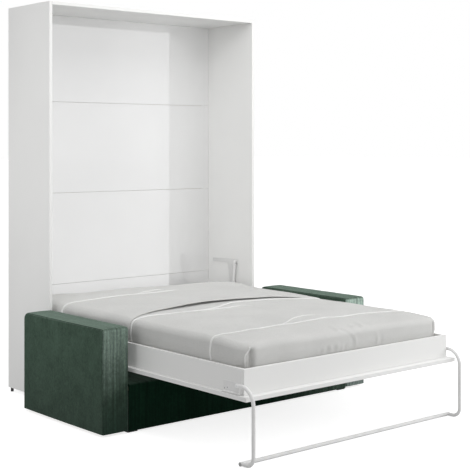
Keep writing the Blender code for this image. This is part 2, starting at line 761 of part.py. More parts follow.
def make_bedding(bed):
    """The mattress, the foot cover and the head cover whose front edge folds over it."""
    size = bedding_size()
    form = (CROWN_SHARES, BED_STEPS)
    mattress = pad_mesh(size, 0, MATTRESS_REST_Z, *form)
    piece("mattress", mattress, bed, "mattress_foam", smooth=True)
    hem_z = size["z_hem"]
    foot_cover = shell_mesh(size, GAP, COVER_THICKNESS, hem_z, *form)
    trim(foot_cover, FOLD_Y - GAP, keep_foot=True)
    piece("foot_cover", foot_cover, bed, "grey_cotton", smooth=True)
    head_cover = shell_mesh(size, GAP, HEAD_COVER_THICKNESS, hem_z, *form)
    trim(head_cover, FOLD_Y - LIP_LENGTH, keep_foot=False)
    head_item = piece("head_cover", head_cover, bed, "grey_cotton", smooth=True)
    slot = pad_mesh(size, COVER_THICKNESS + LIP_CLEARANCE, hem_z - OVERRUN, *form)
    trim(slot, FOLD_Y, keep_foot=True)
    combine(head_item, piece("lip_slot", slot, bed), "DIFFERENCE")


def leg_path():
    """Axis of a leg tube: from its pivot forward, down, and back to the floor bar."""
    upper = (LEG_UPRIGHT_Y + LEG_BEND, LEG_BEARING_Z - LEG_BEND)
    lower = (LEG_UPRIGHT_Y + LEG_LOW_BEND, BAR_RADIUS + LEG_LOW_BEND)
    path = [(LEG_PIVOT_Y + LEG_TAIL, LEG_BEARING_Z)]
    path += arc(upper, LEG_BEND, 90, 180, BEND_STEPS)
    path += arc(lower, LEG_LOW_BEND, 180, 270, BEND_STEPS)
    path.append((BAR_Y, BAR_RADIUS))
    return path


def make_leg_tube(leg, side, x):
    """One bent tube of the leg, bored for its pin and coped to the bar."""
    mesh = bmesh.new()
    path = leg_path()
    outer = tube_rings(mesh, path, x, LEG_TUBE)
    inner = tube_rings(mesh, path, x, LEG_TUBE - LEG_WALL)
    cap_and_join(mesh, outer + list(reversed(inner)), closed=True)
    tube = piece(f"leg_tube_{side}", mesh, leg, "painted_steel", smooth=True)
    cut = (x - LEG_TUBE - OVERRUN, x + LEG_TUBE + OVERRUN)
    mesh = bmesh.new()
    rod_x(mesh, cut, LEG_PIVOT_Y, LEG_BEARING_Z, LEG_PIN_RADIUS + LEG_PIN_FIT)
    combine(tube, piece(f"leg_bore_{side}", mesh, leg), "DIFFERENCE")
    mesh = bmesh.new()
    rod_x(mesh, cut, BAR_Y, BAR_RADIUS, BAR_RADIUS + GAP)
    combine(tube, piece(f"leg_cope_{side}", mesh, leg), "DIFFERENCE")


def make_leg_bracket(bed, side, sign):
    """The angled plate on a side rail that a leg tube turns on, with its stop and its pin."""
    inside = RAIL_OUTSIDE_X + GAP
    outside = inside + BRACKET_THICKNESS
    foot = LEG_PIVOT_Y - STOP_FROM_PIVOT
    head = foot + BRACKET_LENGTH
    low = LEG_BEARING_Z + LEG_TUBE - BRACKET_HEIGHT
    web_x = (sign * inside, sign * outside)
    shelf_x = (sign * inside, sign * (inside + BRACKET_FLANGE))
    mesh = bmesh.new()
    box(mesh, web_x, (foot, head), (low, low + BRACKET_HEIGHT))
    bracket = piece(f"leg_bracket_{side}", mesh, bed, "painted_steel")
    mesh = bmesh.new()
    box(mesh, shelf_x, (foot, head), (low, low + BRACKET_THICKNESS))
    combine(bracket, piece(f"bracket_shelf_{side}", mesh, bed), "UNION")
    mesh = bmesh.new()
    stop_top = LEG_BEARING_Z - LEG_TUBE - GAP
    box(mesh, shelf_x, (foot, foot + BRACKET_THICKNESS), (low, stop_top))
    combine(bracket, piece(f"bracket_stop_{side}", mesh, bed), "UNION")
    mesh = bmesh.new()
    pin_x = (sign * (outside + GAP), sign * (LEG_TUBE_X + LEG_TUBE))
    rod_x(mesh, pin_x, LEG_PIVOT_Y, LEG_BEARING_Z, LEG_PIN_RADIUS)
    piece(f"leg_pin_{side}", mesh, bed, "zinc_steel", smooth=True)


def make_leg_bar(leg):
    """The round bar on the floor that joins the two tubes of the leg."""
    end = LEG_TUBE_X + LEG_TUBE + BAR_END
    mesh = bmesh.new()
    rod_x(mesh, (-end, end), BAR_Y, BAR_RADIUS, BAR_RADIUS, TUBE_SIDES)
    bar = piece("leg_bar", mesh, leg, "painted_steel", smooth=True)
    mesh = bmesh.new()
    cut = (-end - OVERRUN, end + OVERRUN)
    rod_x(mesh, cut, BAR_Y, BAR_RADIUS, BAR_RADIUS - BAR_WALL, TUBE_SIDES)
    combine(bar, piece("bar_bore", mesh, leg), "DIFFERENCE")


def make_sofa_arm(root, side, sign):
    """One arm: a foam block on a base board, in a fabric cover, on two glides."""
    middle = sign * (SOFA_INNER_X + SOFA_OUTER_X) / 2
    size = {
        "half_x": SOFA_ARM_WIDTH / 2,
        "y_foot": SOFA_FRONT_Y,
        "y_head": SOFA_BACK_Y,
        "z_hem": SOFA_LIFT,
        "z_top": SOFA_ARM_HEIGHT - ARM_CROWN,
        "edge": ARM_EDGE,
        "corner": ARM_EDGE,
        "crown": ARM_CROWN,
        "draw_in": 0,
        "fall": 0,
    }
    mesh = shell_mesh(size, -ARM_COVER, 0, SOFA_LIFT, ARM_CROWN_SHARES, ARM_STEPS)
    mesh.transform(Matrix.Translation((middle, 0, 0)))
    piece(f"sofa_arm_cover_{side}", mesh, root, "green_corduroy", smooth=True)
    base_top = SOFA_LIFT + ARM_BASE
    within = ARM_COVER + GAP
    mesh = pad_mesh(size, -within, base_top + GAP, ARM_CROWN_SHARES, ARM_STEPS)
    mesh.transform(Matrix.Translation((middle, 0, 0)))
    piece(f"sofa_arm_block_{side}", mesh, root, "foam", smooth=True)
    reach = SOFA_ARM_WIDTH / 2 - within - GAP
    board(
        f"sofa_arm_base_{side}",
        root,
        "bare_board",
        (middle - reach, middle + reach),
        (SOFA_FRONT_Y + within + GAP, SOFA_BACK_Y - within - GAP),
        (SOFA_LIFT, base_top),
    )
    for place, y in (
        ("front", SOFA_FRONT_Y + SOFA_GLIDE_INSET),
        ("rear", SOFA_BACK_Y - SOFA_GLIDE_INSET),
    ):
        mesh = bmesh.new()
        rod_z(mesh, middle, y, (0, SOFA_LIFT - GAP), SOFA_GLIDE_RADIUS)
        piece(f"sofa_glide_{side}_{place}", mesh, root, "black_plastic", smooth=True)


def make_seat(root):
    """The low seat: a timber frame on feet, a deck and a padded cover over front and top."""
    half = SOFA_INNER_X - GAP
    frame_front = SOFA_FRONT_Y + SEAT_FRONT_COVER + GAP
    frame_rear = -GAP
    deck_top = SEAT_HEIGHT - SEAT_TOP_COVER - GAP
    frame_top = deck_top - DECK_THICKNESS - GAP
    mesh = bmesh.new()
    box(mesh, (-half, half), (frame_front, frame_rear), (SOFA_LIFT, frame_top))
    frame = piece("seat_frame", mesh, root, "bare_board")
    mesh = bmesh.new()
    inner = half - FRAME_BOARD
    box(
        mesh,
        (-inner, inner),
        (frame_front + FRAME_BOARD, frame_rear - FRAME_BOARD),
        (SOFA_LIFT - OVERRUN, frame_top + OVERRUN),
    )
    combine(frame, piece("seat_frame_space", mesh, root), "DIFFERENCE")
    mesh = bmesh.new()
    for sign in (-1, 1):
        foot_x = (sign * half, sign * (half - FRAME_FOOT))
        for y in (frame_front, frame_rear - FRAME_FOOT):
            box(mesh, foot_x, (y, y + FRAME_FOOT), (0, FRAME_FOOT))
    combine(frame, piece("seat_feet", mesh, root), "UNION")
    board(
        "seat_deck",
        root,
        "bare_board",
        (-half, half),
        (frame_front, frame_rear),
        (frame_top + GAP, deck_top),
    )
    front = SOFA_FRONT_Y
    profile = [(frame_rear, deck_top + GAP), (frame_rear, SEAT_HEIGHT)]
    profile += arc((front + SEAT_EDGE, SEAT_HEIGHT - SEAT_EDGE), SEAT_EDGE, 90, 180, EDGE_STEPS)
    profile += [(front, SOFA_LIFT), (front + SEAT_FRONT_COVER, SOFA_LIFT)]
    profile.append((front + SEAT_FRONT_COVER, deck_top + GAP))
    mesh = bmesh.new()
    plate(mesh, profile, (-half, half))
    piece("seat_cover", mesh, root, "green_corduroy", smooth=True)


def build():
    clear_scene()
    root = joint_empty("root", (0, 0, 0), None)
    root.location.y = FRONT_Y
    bed = joint_empty("bed_pivot", (0, PIVOT_Y, PIVOT_Z), root)
    leg = joint_empty("leg_pivot", (0, LEG_PIVOT_Y, LEG_BEARING_Z), bed)
    make_cabinet(root)
    make_bed_frame(bed)
    make_bedding(bed)
    for side, sign in (("left", -1), ("right", 1)):
        make_cabinet_plate(root, side, sign)
        make_bed_plate(bed, side, sign)
        make_gas_spring(root, side, sign * SPRING_X)
        make_leg_tube(leg, side, sign * LEG_TUBE_X)
        make_leg_bracket(bed, side, sign)
        make_sofa_arm(root, side, sign)
    make_leg_bar(leg)
    make_seat(root)


build()
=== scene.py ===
import math

import bmesh
import bpy
import numpy as np
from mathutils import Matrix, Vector
from mathutils.bvhtree import BVHTree


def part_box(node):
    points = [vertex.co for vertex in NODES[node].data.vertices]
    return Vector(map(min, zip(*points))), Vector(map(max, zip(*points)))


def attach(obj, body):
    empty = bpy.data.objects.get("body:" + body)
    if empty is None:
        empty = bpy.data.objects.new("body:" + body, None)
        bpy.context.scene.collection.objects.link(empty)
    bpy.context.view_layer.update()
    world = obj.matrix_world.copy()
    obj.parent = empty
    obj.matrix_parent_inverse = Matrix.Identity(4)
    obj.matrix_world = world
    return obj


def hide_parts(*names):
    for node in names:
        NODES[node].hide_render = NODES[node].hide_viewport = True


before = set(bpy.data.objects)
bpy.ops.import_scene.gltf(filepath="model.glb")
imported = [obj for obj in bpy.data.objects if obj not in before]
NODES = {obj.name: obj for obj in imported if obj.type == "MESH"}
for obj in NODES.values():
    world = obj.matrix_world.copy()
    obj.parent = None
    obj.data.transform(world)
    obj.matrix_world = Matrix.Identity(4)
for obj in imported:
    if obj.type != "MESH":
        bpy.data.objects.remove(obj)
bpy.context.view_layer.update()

SIDES = (("left", -1), ("right", 1))

# Camera: where it stands, its level turn, and how far the picture is shifted down
CAMERA_PLACE = (-4.0580, -4.8525, 1.4640)
CAMERA_TURN = 40.427
CAMERA_LENS = 85.64
CAMERA_SENSOR = 36.0
CAMERA_SHIFT = -0.1923
CAMERA_REACH = 200.0

# Light: the world's strength, the floor's glow for the camera and its brightness in a mirror
AMBIENT = 0.575
FLOOR_GLOW = 0.76
MIRRORED_FLOOR = 0.96
FLOOR_REACH = 90.0
# Name, place, target, size, spread in degrees and power of each lamp
LAMPS = (
    ("key", (3.4, -4.2, 1.6), (0.0, 0.3, 1.0), (3.4, 3.0), 180, 86.0),
    ("right", (4.8, -2.4, 1.6), (0.9, -0.2, 0.3), (2.0, 2.0), 180, 22.0),
    ("left", (-5.0, -1.4, 2.8), (0.1, 0.9, 1.55), (1.6, 2.0), 38, 5.4),
    ("side", (-5.0, 1.7, 0.9), (-0.77, 0.86, 0.45), (1.0, 2.2), 24, 0.75),
    ("corner", (-1.2, -3.6, 0.5), (0.64, 1.0, 2.16), (0.6, 0.6), 18, 0.34),
    ("above", (0.0, -1.6, 4.6), (0.0, 0.2, 0.4), (3.4, 3.4), 180, 76.0),
)

# Bedding
MATTRESS_HALF = 0.700
MATTRESS_FOOT = -0.9795
MATTRESS_HEAD = 1.0205
MATTRESS_REST = 0.3616
MATTRESS_TOP = 0.5516
HEM = 0.4290
EDGE = 0.031
CORNER = 0.084
CROWN = 0.012
DRAW_IN = 0.005
RIGHT_DRAW_IN = 0.004  # at the foot's right corner
RIGHT_FALL = 0.013  # of the top, along the right edge
RIGHT_START = 0.30  # across the bed, where both of these start
FALL = 0.012
FALL_LENGTH = 0.300
HEAD_FALL = (0.15, 0.35)  # left of the middle, and how much more at the right edge
HEAD_FALL_START = 0.700
HEM_INSET = 0.009
PIPING_RISE = 0.004  # of the piping's ends above the hem
PIPING_LIFT = 0.0006  # of the piping's middle off the cover
PIPING_SPACING = 0.007
PAD_INSET = 0.010  # of the mattress inside the bedding's form
PAD_SPACING = 0.060
PAD_DRAW_IN = 0.006
FOOT_THICKNESS = 0.005
HEAD_THICKNESS = 0.016
FOOT_LINING = -0.006
HEAD_LINING = 0.0006
SLOT = 0.006
LIP_DEPTH = 0.005
LIP_Y = -0.0295
LIP_TURNS = (45, 90, 135, 180)  # degrees through which the front edge turns under
LIP_SHARES = (0.06, 0.14, 0.30, 0.60, 1.0)  # of its way back, where it has points
COVER_BACK = 0.150  # how far the foot cover runs back under the head cover
# A skin's spacing, its steps up the side, over the edge and in from it, and round a corner
FOOT_MESH = (0.0070, (9, 12, 5), 28)
HEAD_MESH = (0.0090, (9, 12, 5), 12)
FOOT_LINING_MESH = (0.040, (2, 4, 2), 8, 0.050)
HEAD_LINING_MESH = (0.040, (2, 4, 2), 6)
MOST_FOOT_LIFT = 0.0062
MOST_HEAD_LIFT = 0.0060
# Height, length and seed of the slow waves over each cover
FOOT_WAVES = (0.0016, 0.30, 5)
HEAD_WAVES = (0.0020, 0.33, 11)
# On the left and on the right: how far the long edges sink and swell between the bands,
# and how far each band is drawn in where it rounds the edge
EDGE_GIVE = (0.006, 0.003)
EDGE_SWELL = (0.008, 0.003)
EDGE_PRESS = (0.0100, 0.0030)
GIVE_REACH = 0.21  # in from the edge
BAND_PRESS = 0.0020
PAD_GIVE = 0.016
# Where the head cover's front edge lies, and how far it stands open: places across the bed
LIP_PATH = (
    (-0.71, -0.060), (-0.675, -0.058), (-0.64, -0.042), (-0.60, -0.023), (-0.50, -0.004),
    (-0.42, 0.004), (-0.32, 0.016), (-0.22, 0.026), (-0.10, 0.037), (0.00, 0.037), (0.09, 0.031),
    (0.17, 0.021), (0.25, 0.010), (0.34, 0.001), (0.42, -0.012), (0.50, -0.032), (0.57, -0.050),
    (0.62, -0.061), (0.71, -0.063),
)
SLOT_OPEN = (
    (-0.64, 0.0), (-0.57, 0.003), (-0.42, 0.007), (-0.26, 0.013), (-0.10, 0.013), (0.02, 0.010),
    (0.20, 0.0075), (0.40, 0.006), (0.54, 0.003), (0.60, 0.0),
)
# The piped bands, as places across the bed and along it
BANDS = (
    (
        (-0.71, 0.587), (-0.66, 0.580), (-0.587, 0.578), (-0.498, 0.583), (-0.394, 0.606),
        (-0.332, 0.606), (-0.256, 0.598), (-0.217, 0.583), (-0.156, 0.571), (-0.08, 0.564),
        (0.014, 0.574), (0.13, 0.585), (0.71, 0.587),
    ),
    (
        (-0.71, -0.070), (-0.64, -0.069), (-0.58, -0.062), (-0.54, -0.066), (-0.467, -0.080),
        (-0.38, -0.100), (-0.30, -0.117), (-0.209, -0.114), (-0.126, -0.094), (-0.051, -0.058),
        (0.025, -0.020), (0.104, -0.009), (0.215, -0.030), (0.294, -0.046), (0.375, -0.060),
        (0.51, -0.067), (0.71, -0.070),
    ),
    (
        (-0.71, -0.730), (-0.64, -0.727), (-0.607, -0.738), (-0.53, -0.740), (-0.457, -0.729),
        (-0.404, -0.742), (-0.323, -0.735), (-0.249, -0.733), (-0.191, -0.745), (-0.109, -0.739),
        (-0.022, -0.729), (0.071, -0.717), (0.129, -0.732), (0.201, -0.740), (0.288, -0.736),
        (0.385, -0.742), (0.497, -0.736), (0.71, -0.732),
    ),
)
# Creases beside the bands, on whose ridges white cords paint the creases' highlights
LOOSE_1 = ((-0.20, 0.590), (-0.117, 0.614), (-0.047, 0.641), (0.024, 0.660), (0.08, 0.668))
LOOSE_2 = (
    (-0.36, -0.122), (-0.283, -0.152), (-0.193, -0.158), (-0.123, -0.175), (-0.051, -0.176),
    (0.01, -0.190), (0.06, -0.240),
)
LOOSE_3 = (
    (-0.27, -0.736), (-0.186, -0.713), (-0.111, -0.667), (-0.051, -0.642), (0.012, -0.632),
    (0.067, -0.634), (0.13, -0.642),
)
BAND_SIZE = (0.0140, 0.0048)
CREASE_HIGHLIGHT_SIZE = (BAND_SIZE[0] * 0.62, BAND_SIZE[1] * 0.8)
LOOSE_STEPS = 40
LOOSE_Z = 0.570
CORNER_PIPING_SIZE = (0.0068, 0.0044)
# Turn of each side's corner piping in degrees, and how far its top leans over
CORNER_PIPING_TURN = {-1: (44.0, 15.0), 1: (12.0, 4.0)}
# Heights at which the creases are drawn, about on the covers' tops
FOOT_CREST_Z = 0.568
FOOT_CREASE_Z = 0.567
HEAD_CREST_Z = 0.572
HEAD_CREASE_Z = 0.576
# Creases of the two tops: places in plan, height and width
FOOT_CREASES = (
    (((-0.40, -0.50), (-0.45, -0.60), (-0.50, -0.70)), -0.0040, 0.030),
    (((-0.005, -0.23), (0.023, -0.35), (0.04, -0.44)), -0.0026, 0.016),
    (((0.06, -0.22), (0.16, -0.30), (0.30, -0.33)), -0.0026, 0.018),
    (((0.10, -0.25), (0.20, -0.36), (0.34, -0.40)), 0.0022, 0.016),
    (((-0.40, -0.20), (-0.25, -0.30), (-0.05, -0.36)), -0.0022, 0.030),
    (((-0.16, -0.30), (-0.15, -0.40), (-0.13, -0.50)), -0.0026, 0.022),
    (((0.20, -0.80), (0.14, -0.88), (0.10, -0.93)), 0.0026, 0.011),
    (((0.26, -0.83), (0.20, -0.90), (0.15, -0.95)), -0.0024, 0.012),
)
HEAD_CREASES = (
    (((-0.50, 0.72), (-0.20, 0.78), (0.15, 0.76)), 0.0030, 0.030),
    (((-0.34, 0.66), (-0.30, 0.74), (-0.22, 0.80)), -0.0030, 0.020),
    (((-0.30, 0.25), (0.00, 0.30), (0.30, 0.24)), -0.0026, 0.035),
    (((0.10, 0.12), (0.30, 0.20), (0.50, 0.16)), 0.0024, 0.028),
)
# Tucks of the foot's face: place across, upper end's height and place, height and width
TUCKS = (
    (-0.300, 0.462, -0.304, 0.0026, 0.008),
    (-0.232, 0.477, -0.238, 0.0040, 0.007),
    (-0.212, 0.470, -0.214, -0.0036, 0.007),
    (-0.191, 0.482, -0.196, 0.0046, 0.007),
    (-0.166, 0.486, -0.172, -0.0042, 0.008),
    (-0.140, 0.482, -0.150, 0.0052, 0.007),
    (-0.117, 0.480, -0.124, -0.0042, 0.008),
    (-0.093, 0.490, -0.102, 0.0052, 0.007),
    (-0.060, 0.474, -0.066, 0.0044, 0.008),
    (-0.040, 0.480, -0.044, -0.0040, 0.009),
    (0.191, 0.523, 0.181, 0.0040, 0.008),
    (0.222, 0.500, 0.216, -0.0028, 0.010),
    (0.315, 0.470, 0.312, 0.0024, 0.009),
)
TUCK_FOOT_Z = 0.416
# An arched fold from the foot's face onto the top: place across, in from the face, and height
ARCH = (
    (0.030, 0.0, 0.425), (0.035, 0.0, 0.466), (0.030, 0.001, 0.493),
    (0.006, 0.008, 0.520), (-0.035, 0.026, 0.545), (-0.075, 0.060, 0.553),
)
# Folds over the foot's edge: places across at their upper and lower end, and height
EDGE_FOLDS = (
    (0.123, 0.066, -0.0034), (0.150, 0.094, 0.0034), (0.066, 0.000, -0.0036),
    (0.185, 0.142, -0.0028), (-0.046, -0.082, 0.0032), (-0.075, -0.110, -0.0028),
)
# Side, turn in degrees and width of the tucks beside the upright corner seams
HOLLOWS = ((-1, 62.0, 0.0120), (1, 74.0, 0.0085))
HOLLOW_DEPTH = 0.0200
# Where the soft folds over the foot's two corners start
CORNER_FOLDS = ((-0.47, -0.93), (0.47, -0.94))
# Places of the long sides' dents along the bed, and their greatest depth
PLEATS = (-0.86, -0.62, -0.50, -0.36, -0.22, 0.16, 0.33, 0.47, 0.72, 0.88)
MOST_PLEAT = 0.0034
PLEAT_SEED = 41

# Sofa
RIB_PITCH = 0.0065
RIB_HEIGHT = 0.0009
RIB_SAMPLES = (0.0, 0.25, 0.5, 0.75)
SEAM = 0.0036
ROLL = 0.0062
SET_IN = 0.0030
# Distances from a seam at which a cover has points, across the ribs and along them
NEAR_SEAM = (0.0006, 0.0014, 0.0026, 0.0042)
NEAR_END = (0.0, *NEAR_SEAM, 0.0064, 0.0100, 0.016)
PANEL_DEPTH = 0.0085
ARM_FRONT_RADIUS = 0.020
ARM_REAR_RADIUS = 0.042
SEAT_RADIUS = 0.014
SKIRT_DROP = 0.006  # of the seat's skirt below its solid
SEAT_GAP = 0.0004  # at both ends of the seat
SEAT_END_RADIUS = 0.004
SEAT_DEPTHS = (0.0105, 0.0165)  # of its back below its front, and below its top
VALLEY = {"X": 0.62, "Y": 0.86}  # shade between ribs that lie side by side along each axis

# Screws and plugs
SCREW_SIDES = 16
SCREW_RADIUS = 0.0042
SCREW_X = 0.7225  # sunk into the bracket's web, clear of the folded leg
SCREW_PLACES = ((0.102, 0.017), (0.121, 0.012))  # behind and above the bracket's corner
PLUG_PROFILE = (
    (0.0082, -0.012), (0.0082, 0.0002), (0.0096, 0.0003), (0.0096, 0.0012),
    (0.0086, 0.0018), (0.0040, 0.0022), (0.0008, 0.0023),
)


def smooth(value):
    """Eases a share from 0 to 1."""
    value = np.clip(value, 0.0, 1.0)
    return value * value * (3 - 2 * value)


def quarter(steps):
    """Even turns through a right angle."""
    return math.pi / 2 * np.arange(steps + 1) / steps


def rounding(radius, top, steps):
    """A rounded edge, from upright to level: insets, heights, and its ways out and up."""
    turns = quarter(steps)
    out, up = np.cos(turns), np.sin(turns)
    return list(zip(radius * (1 - out), top - radius + radius * up, out, up))


# Materials


class Nodes:
    """A node tree, with its nodes added and joined in one call."""

    def __init__(self, tree):
        self.tree = tree

    def add(self, kind, inputs=None, **settings):
        item = self.tree.nodes.new("ShaderNode" + kind)
        for key, value in settings.items():
            setattr(item, key, value)
        for key, value in (inputs or {}).items():
            self.join(value, item.inputs[key])
        return item

    def join(self, value, socket):
        if isinstance(value, bpy.types.NodeSocket):
            self.tree.links.new(value, socket)
        else:
            socket.default_value = value

    def math(self, operation, a, b=0.0):
        return self.add("Math", {0: a, 1: b}, operation=operation).outputs[0]


class Finish(Nodes):
    """A material on a Principled shader, with a few kinds of node ready to add."""

    def __init__(self, name, **sockets):
        self.material = bpy.data.materials.new(name)
        self.material.use_nodes = True
        super().__init__(self.material.node_tree)
        self.shader = self.tree.nodes["Principled BSDF"]
        for socket, value in sockets.items():
            self.shader.inputs[socket.replace("_", " ")].default_value = value
        self.coordinates = self.add("TexCoord").outputs
        self.place = self.coordinates["Object"]

    def axes(self, vector):
        return self.add("SeparateXYZ", {0: vector}).outputs

    def stretched(self, scale):
        """The object's own coordinates, scaled along each axis."""
        return self.add("Mapping", {"Vector": self.place, "Scale": scale}).outputs[0]

    def noise(self, scale, detail=2.0, place=None, distortion=0.0, roughness=0.5):
        inputs = {
            "Vector": place or self.place,
            "Scale": scale,
            "Detail": detail,
            "Roughness": roughness,
            "Distortion": distortion,
        }
        return self.add("TexNoise", inputs).outputs[0]

    def cells(self, scale, place=None):
        inputs = {"Vector": place or self.place, "Scale": scale}
        return self.add("TexVoronoi", inputs).outputs[0]

    def share(self, value, low, high, first=0.0, last=1.0):
        """A value moved from one range to another, and kept inside it."""
        names = ("Value", "From Min", "From Max", "To Min", "To Max")
        inputs = dict(zip(names, (value, low, high, first, last)))
        return self.add("MapRange", inputs).outputs[0]

    def blend(self, share, first, last):
        item = self.add("Mix", data_type="RGBA")
        self.join(share, item.inputs["Factor"])
        for key, colour in (("A", first), ("B", last)):
            sockets = [s for s in item.inputs if s.name == key and s.type == "RGBA"]
            value = colour if isinstance(colour, bpy.types.NodeSocket) else (*colour, 1.0)
            self.join(value, sockets[0])
        return [s for s in item.outputs if s.type == "RGBA"][0]

    def drift(self, share, colour, dark, light):
        """A colour that moves between two tints of itself."""
        return self.blend(share, tinted(colour, dark), tinted(colour, light))

    def matt(self, noise, roughness, first, last):
        """A roughness that moves between two shares of itself."""
        return self.share(noise, 0.3, 0.7, roughness * first, roughness * last)

    def waves(self, pitch, axes="XYZ"):
        """Sines along some of the axes, added up."""
        parts, total = self.axes(self.place), None
        for axis in axes:
            turn = self.math("MULTIPLY", parts["XYZ".index(axis)], 2 * math.pi / pitch)
            wave = self.math("SINE", turn)
            total = wave if total is None else self.math("ADD", total, wave)
        return total

    def bump(self, height, strength, distance, below=None):
        inputs = {"Height": height, "Strength": strength, "Distance": distance}
        if below is not None:
            inputs["Normal"] = below
        return self.add("Bump", inputs).outputs[0]

    def edge_highlight_share(self, width):
        """A share that is 1 on edges sharper than a given width, where a highlight is painted."""
        soft = self.add("Bevel", {"Radius": width}, samples=4).outputs[0]
        flat = self.add("NewGeometry").outputs["Normal"]
        likeness = self.add("VectorMath", {0: soft, 1: flat}, operation="DOT_PRODUCT")
        return self.share(likeness.outputs["Value"], 0.995, 0.90)

    def finish(self, colour, roughness=None, normal=None):
        inputs = self.shader.inputs
        self.join(colour, inputs["Base Color"])
        for value, socket in ((roughness, "Roughness"), (normal, "Normal")):
            if value is not None:
                self.join(value, inputs[socket])
        return self.material


def tinted(colour, factor):
    return tuple(min(part * factor, 1.0) for part in colour)


def board_finish(name, colour, roughness, coat=0.0, coat_roughness=0.05, coat_ior=1.5):
    """Lacquered board: a clear coat lies flatter than plain lacquer."""
    item = Finish(name, Coat_Weight=coat, Coat_Roughness=coat_roughness, Coat_IOR=coat_ior)
    wave, fine = (0.0015, 0.002) if coat else (0.0005, 0.14)
    paint = item.drift(item.share(item.noise(1.7, 3.0), 0.35, 0.65), colour, 0.975, 1.01)
    # Painted highlight: sharp edges a little lighter
    paint = item.blend(item.edge_highlight_share(0.0015), paint, tinted(colour, 1.04))
    matt = item.matt(item.noise(7.0, 3.0), roughness, 0.88, 1.14)
    waves = item.bump(item.noise(2.1, 1.0), 0.10, wave)
    return item.finish(paint, matt, item.bump(item.noise(850.0), fine, 0.0003, waves))


def paint_finish(name, colour, roughness, metallic=0.0):
    item = Finish(name, Metallic=metallic)
    paint = item.drift(item.share(item.noise(14.0, 3.0), 0.35, 0.65), colour, 0.96, 1.03)
    # Painted highlight: sharp edges lighter
    paint = item.blend(item.edge_highlight_share(0.0012), paint, tinted(colour, 1.10))
    matt = item.matt(item.noise(60.0, 3.0), roughness, 0.85, 1.2)
    return item.finish(paint, matt, item.bump(item.noise(1400.0), 0.20, 0.0003))


def steel_finish(name, colour, roughness):
    item = Finish(name, Metallic=1.0)
    brushed = item.noise(12.0, 4.0, item.stretched((3.0, 160.0, 160.0)))
    paint, matt = item.drift(brushed, colour, 0.88, 1.12), item.matt(brushed, roughness, 0.8, 1.3)
    return item.finish(paint, matt, item.bump(brushed, 0.12, 0.0002))


def plastic_finish(name, colour, roughness):
    item = Finish(name)
    paint = item.drift(item.share(item.noise(40.0), 0.3, 0.7), colour, 0.9, 1.15)
    matt = item.matt(item.noise(90.0), roughness, 0.9, 1.15)
    return item.finish(paint, matt, item.bump(item.cells(1100.0), 0.15, 0.0002))


def wood_finish(name, colour, dark, roughness):
    """Wood whose grain runs across the bed, as the slats do."""
    item = Finish(name)
    place = item.stretched((2.5, 60.0, 60.0))
    grain = item.noise(1.0, 6.0, place, 0.6, 0.62)
    pores = item.noise(9.0, 2.0, place)
    paint = item.blend(item.share(grain, 0.32, 0.68), dark, colour)
    paint = item.blend(item.share(pores, 0.60, 0.72, 0.0, 0.35), paint, tinted(dark, 0.7))
    return item.finish(paint, item.matt(grain, roughness, 1.1, 0.9), item.bump(pores, 0.25, 0.0003))


def chip_finish(name, colour, dark, roughness):
    item = Finish(name)
    flakes = item.cells(260.0, item.stretched((1.0, 0.55, 1.0)))
    specks = item.noise(420.0, 3.0)
    paint = item.blend(item.share(flakes, 0.1, 0.7), dark, colour)
    paint = item.blend(item.share(specks, 0.55, 0.75, 0.0, 0.5), paint, tinted(dark, 0.75))
    return item.finish(paint, roughness, item.bump(flakes, 0.3, 0.0004))


def cloth_finish(name, colour, pitch, sheen=0.15, mottle=0.05, weave=0.5):
    """Plain weave with slubs, on a broad and slight unevenness."""
    item = Finish(name, Sheen_Weight=sheen, Sheen_Roughness=0.5, Specular_IOR_Level=0.25)
    broad = item.share(item.noise(3.5, 3.0), 0.3, 0.7)
    slubs = item.noise(260.0, 3.0, item.stretched((1.0, 0.25, 1.0)))
    paint = item.drift(broad, colour, 1 - mottle, 1 + mottle * 0.6)
    paint = item.blend(item.share(slubs, 0.35, 0.75, 0.0, 0.28), paint, tinted(colour, 0.82))
    threads = item.waves(pitch)
    paint = item.blend(item.share(threads, -1.6, 1.6, 0.10, 0.0), paint, tinted(colour, 0.7))
    normal = item.bump(item.noise(38.0, 3.0), 0.16, 0.0022, item.bump(threads, weave, 0.0002))
    return item.finish(paint, item.share(slubs, 0.3, 0.7, 0.88, 0.98), normal)


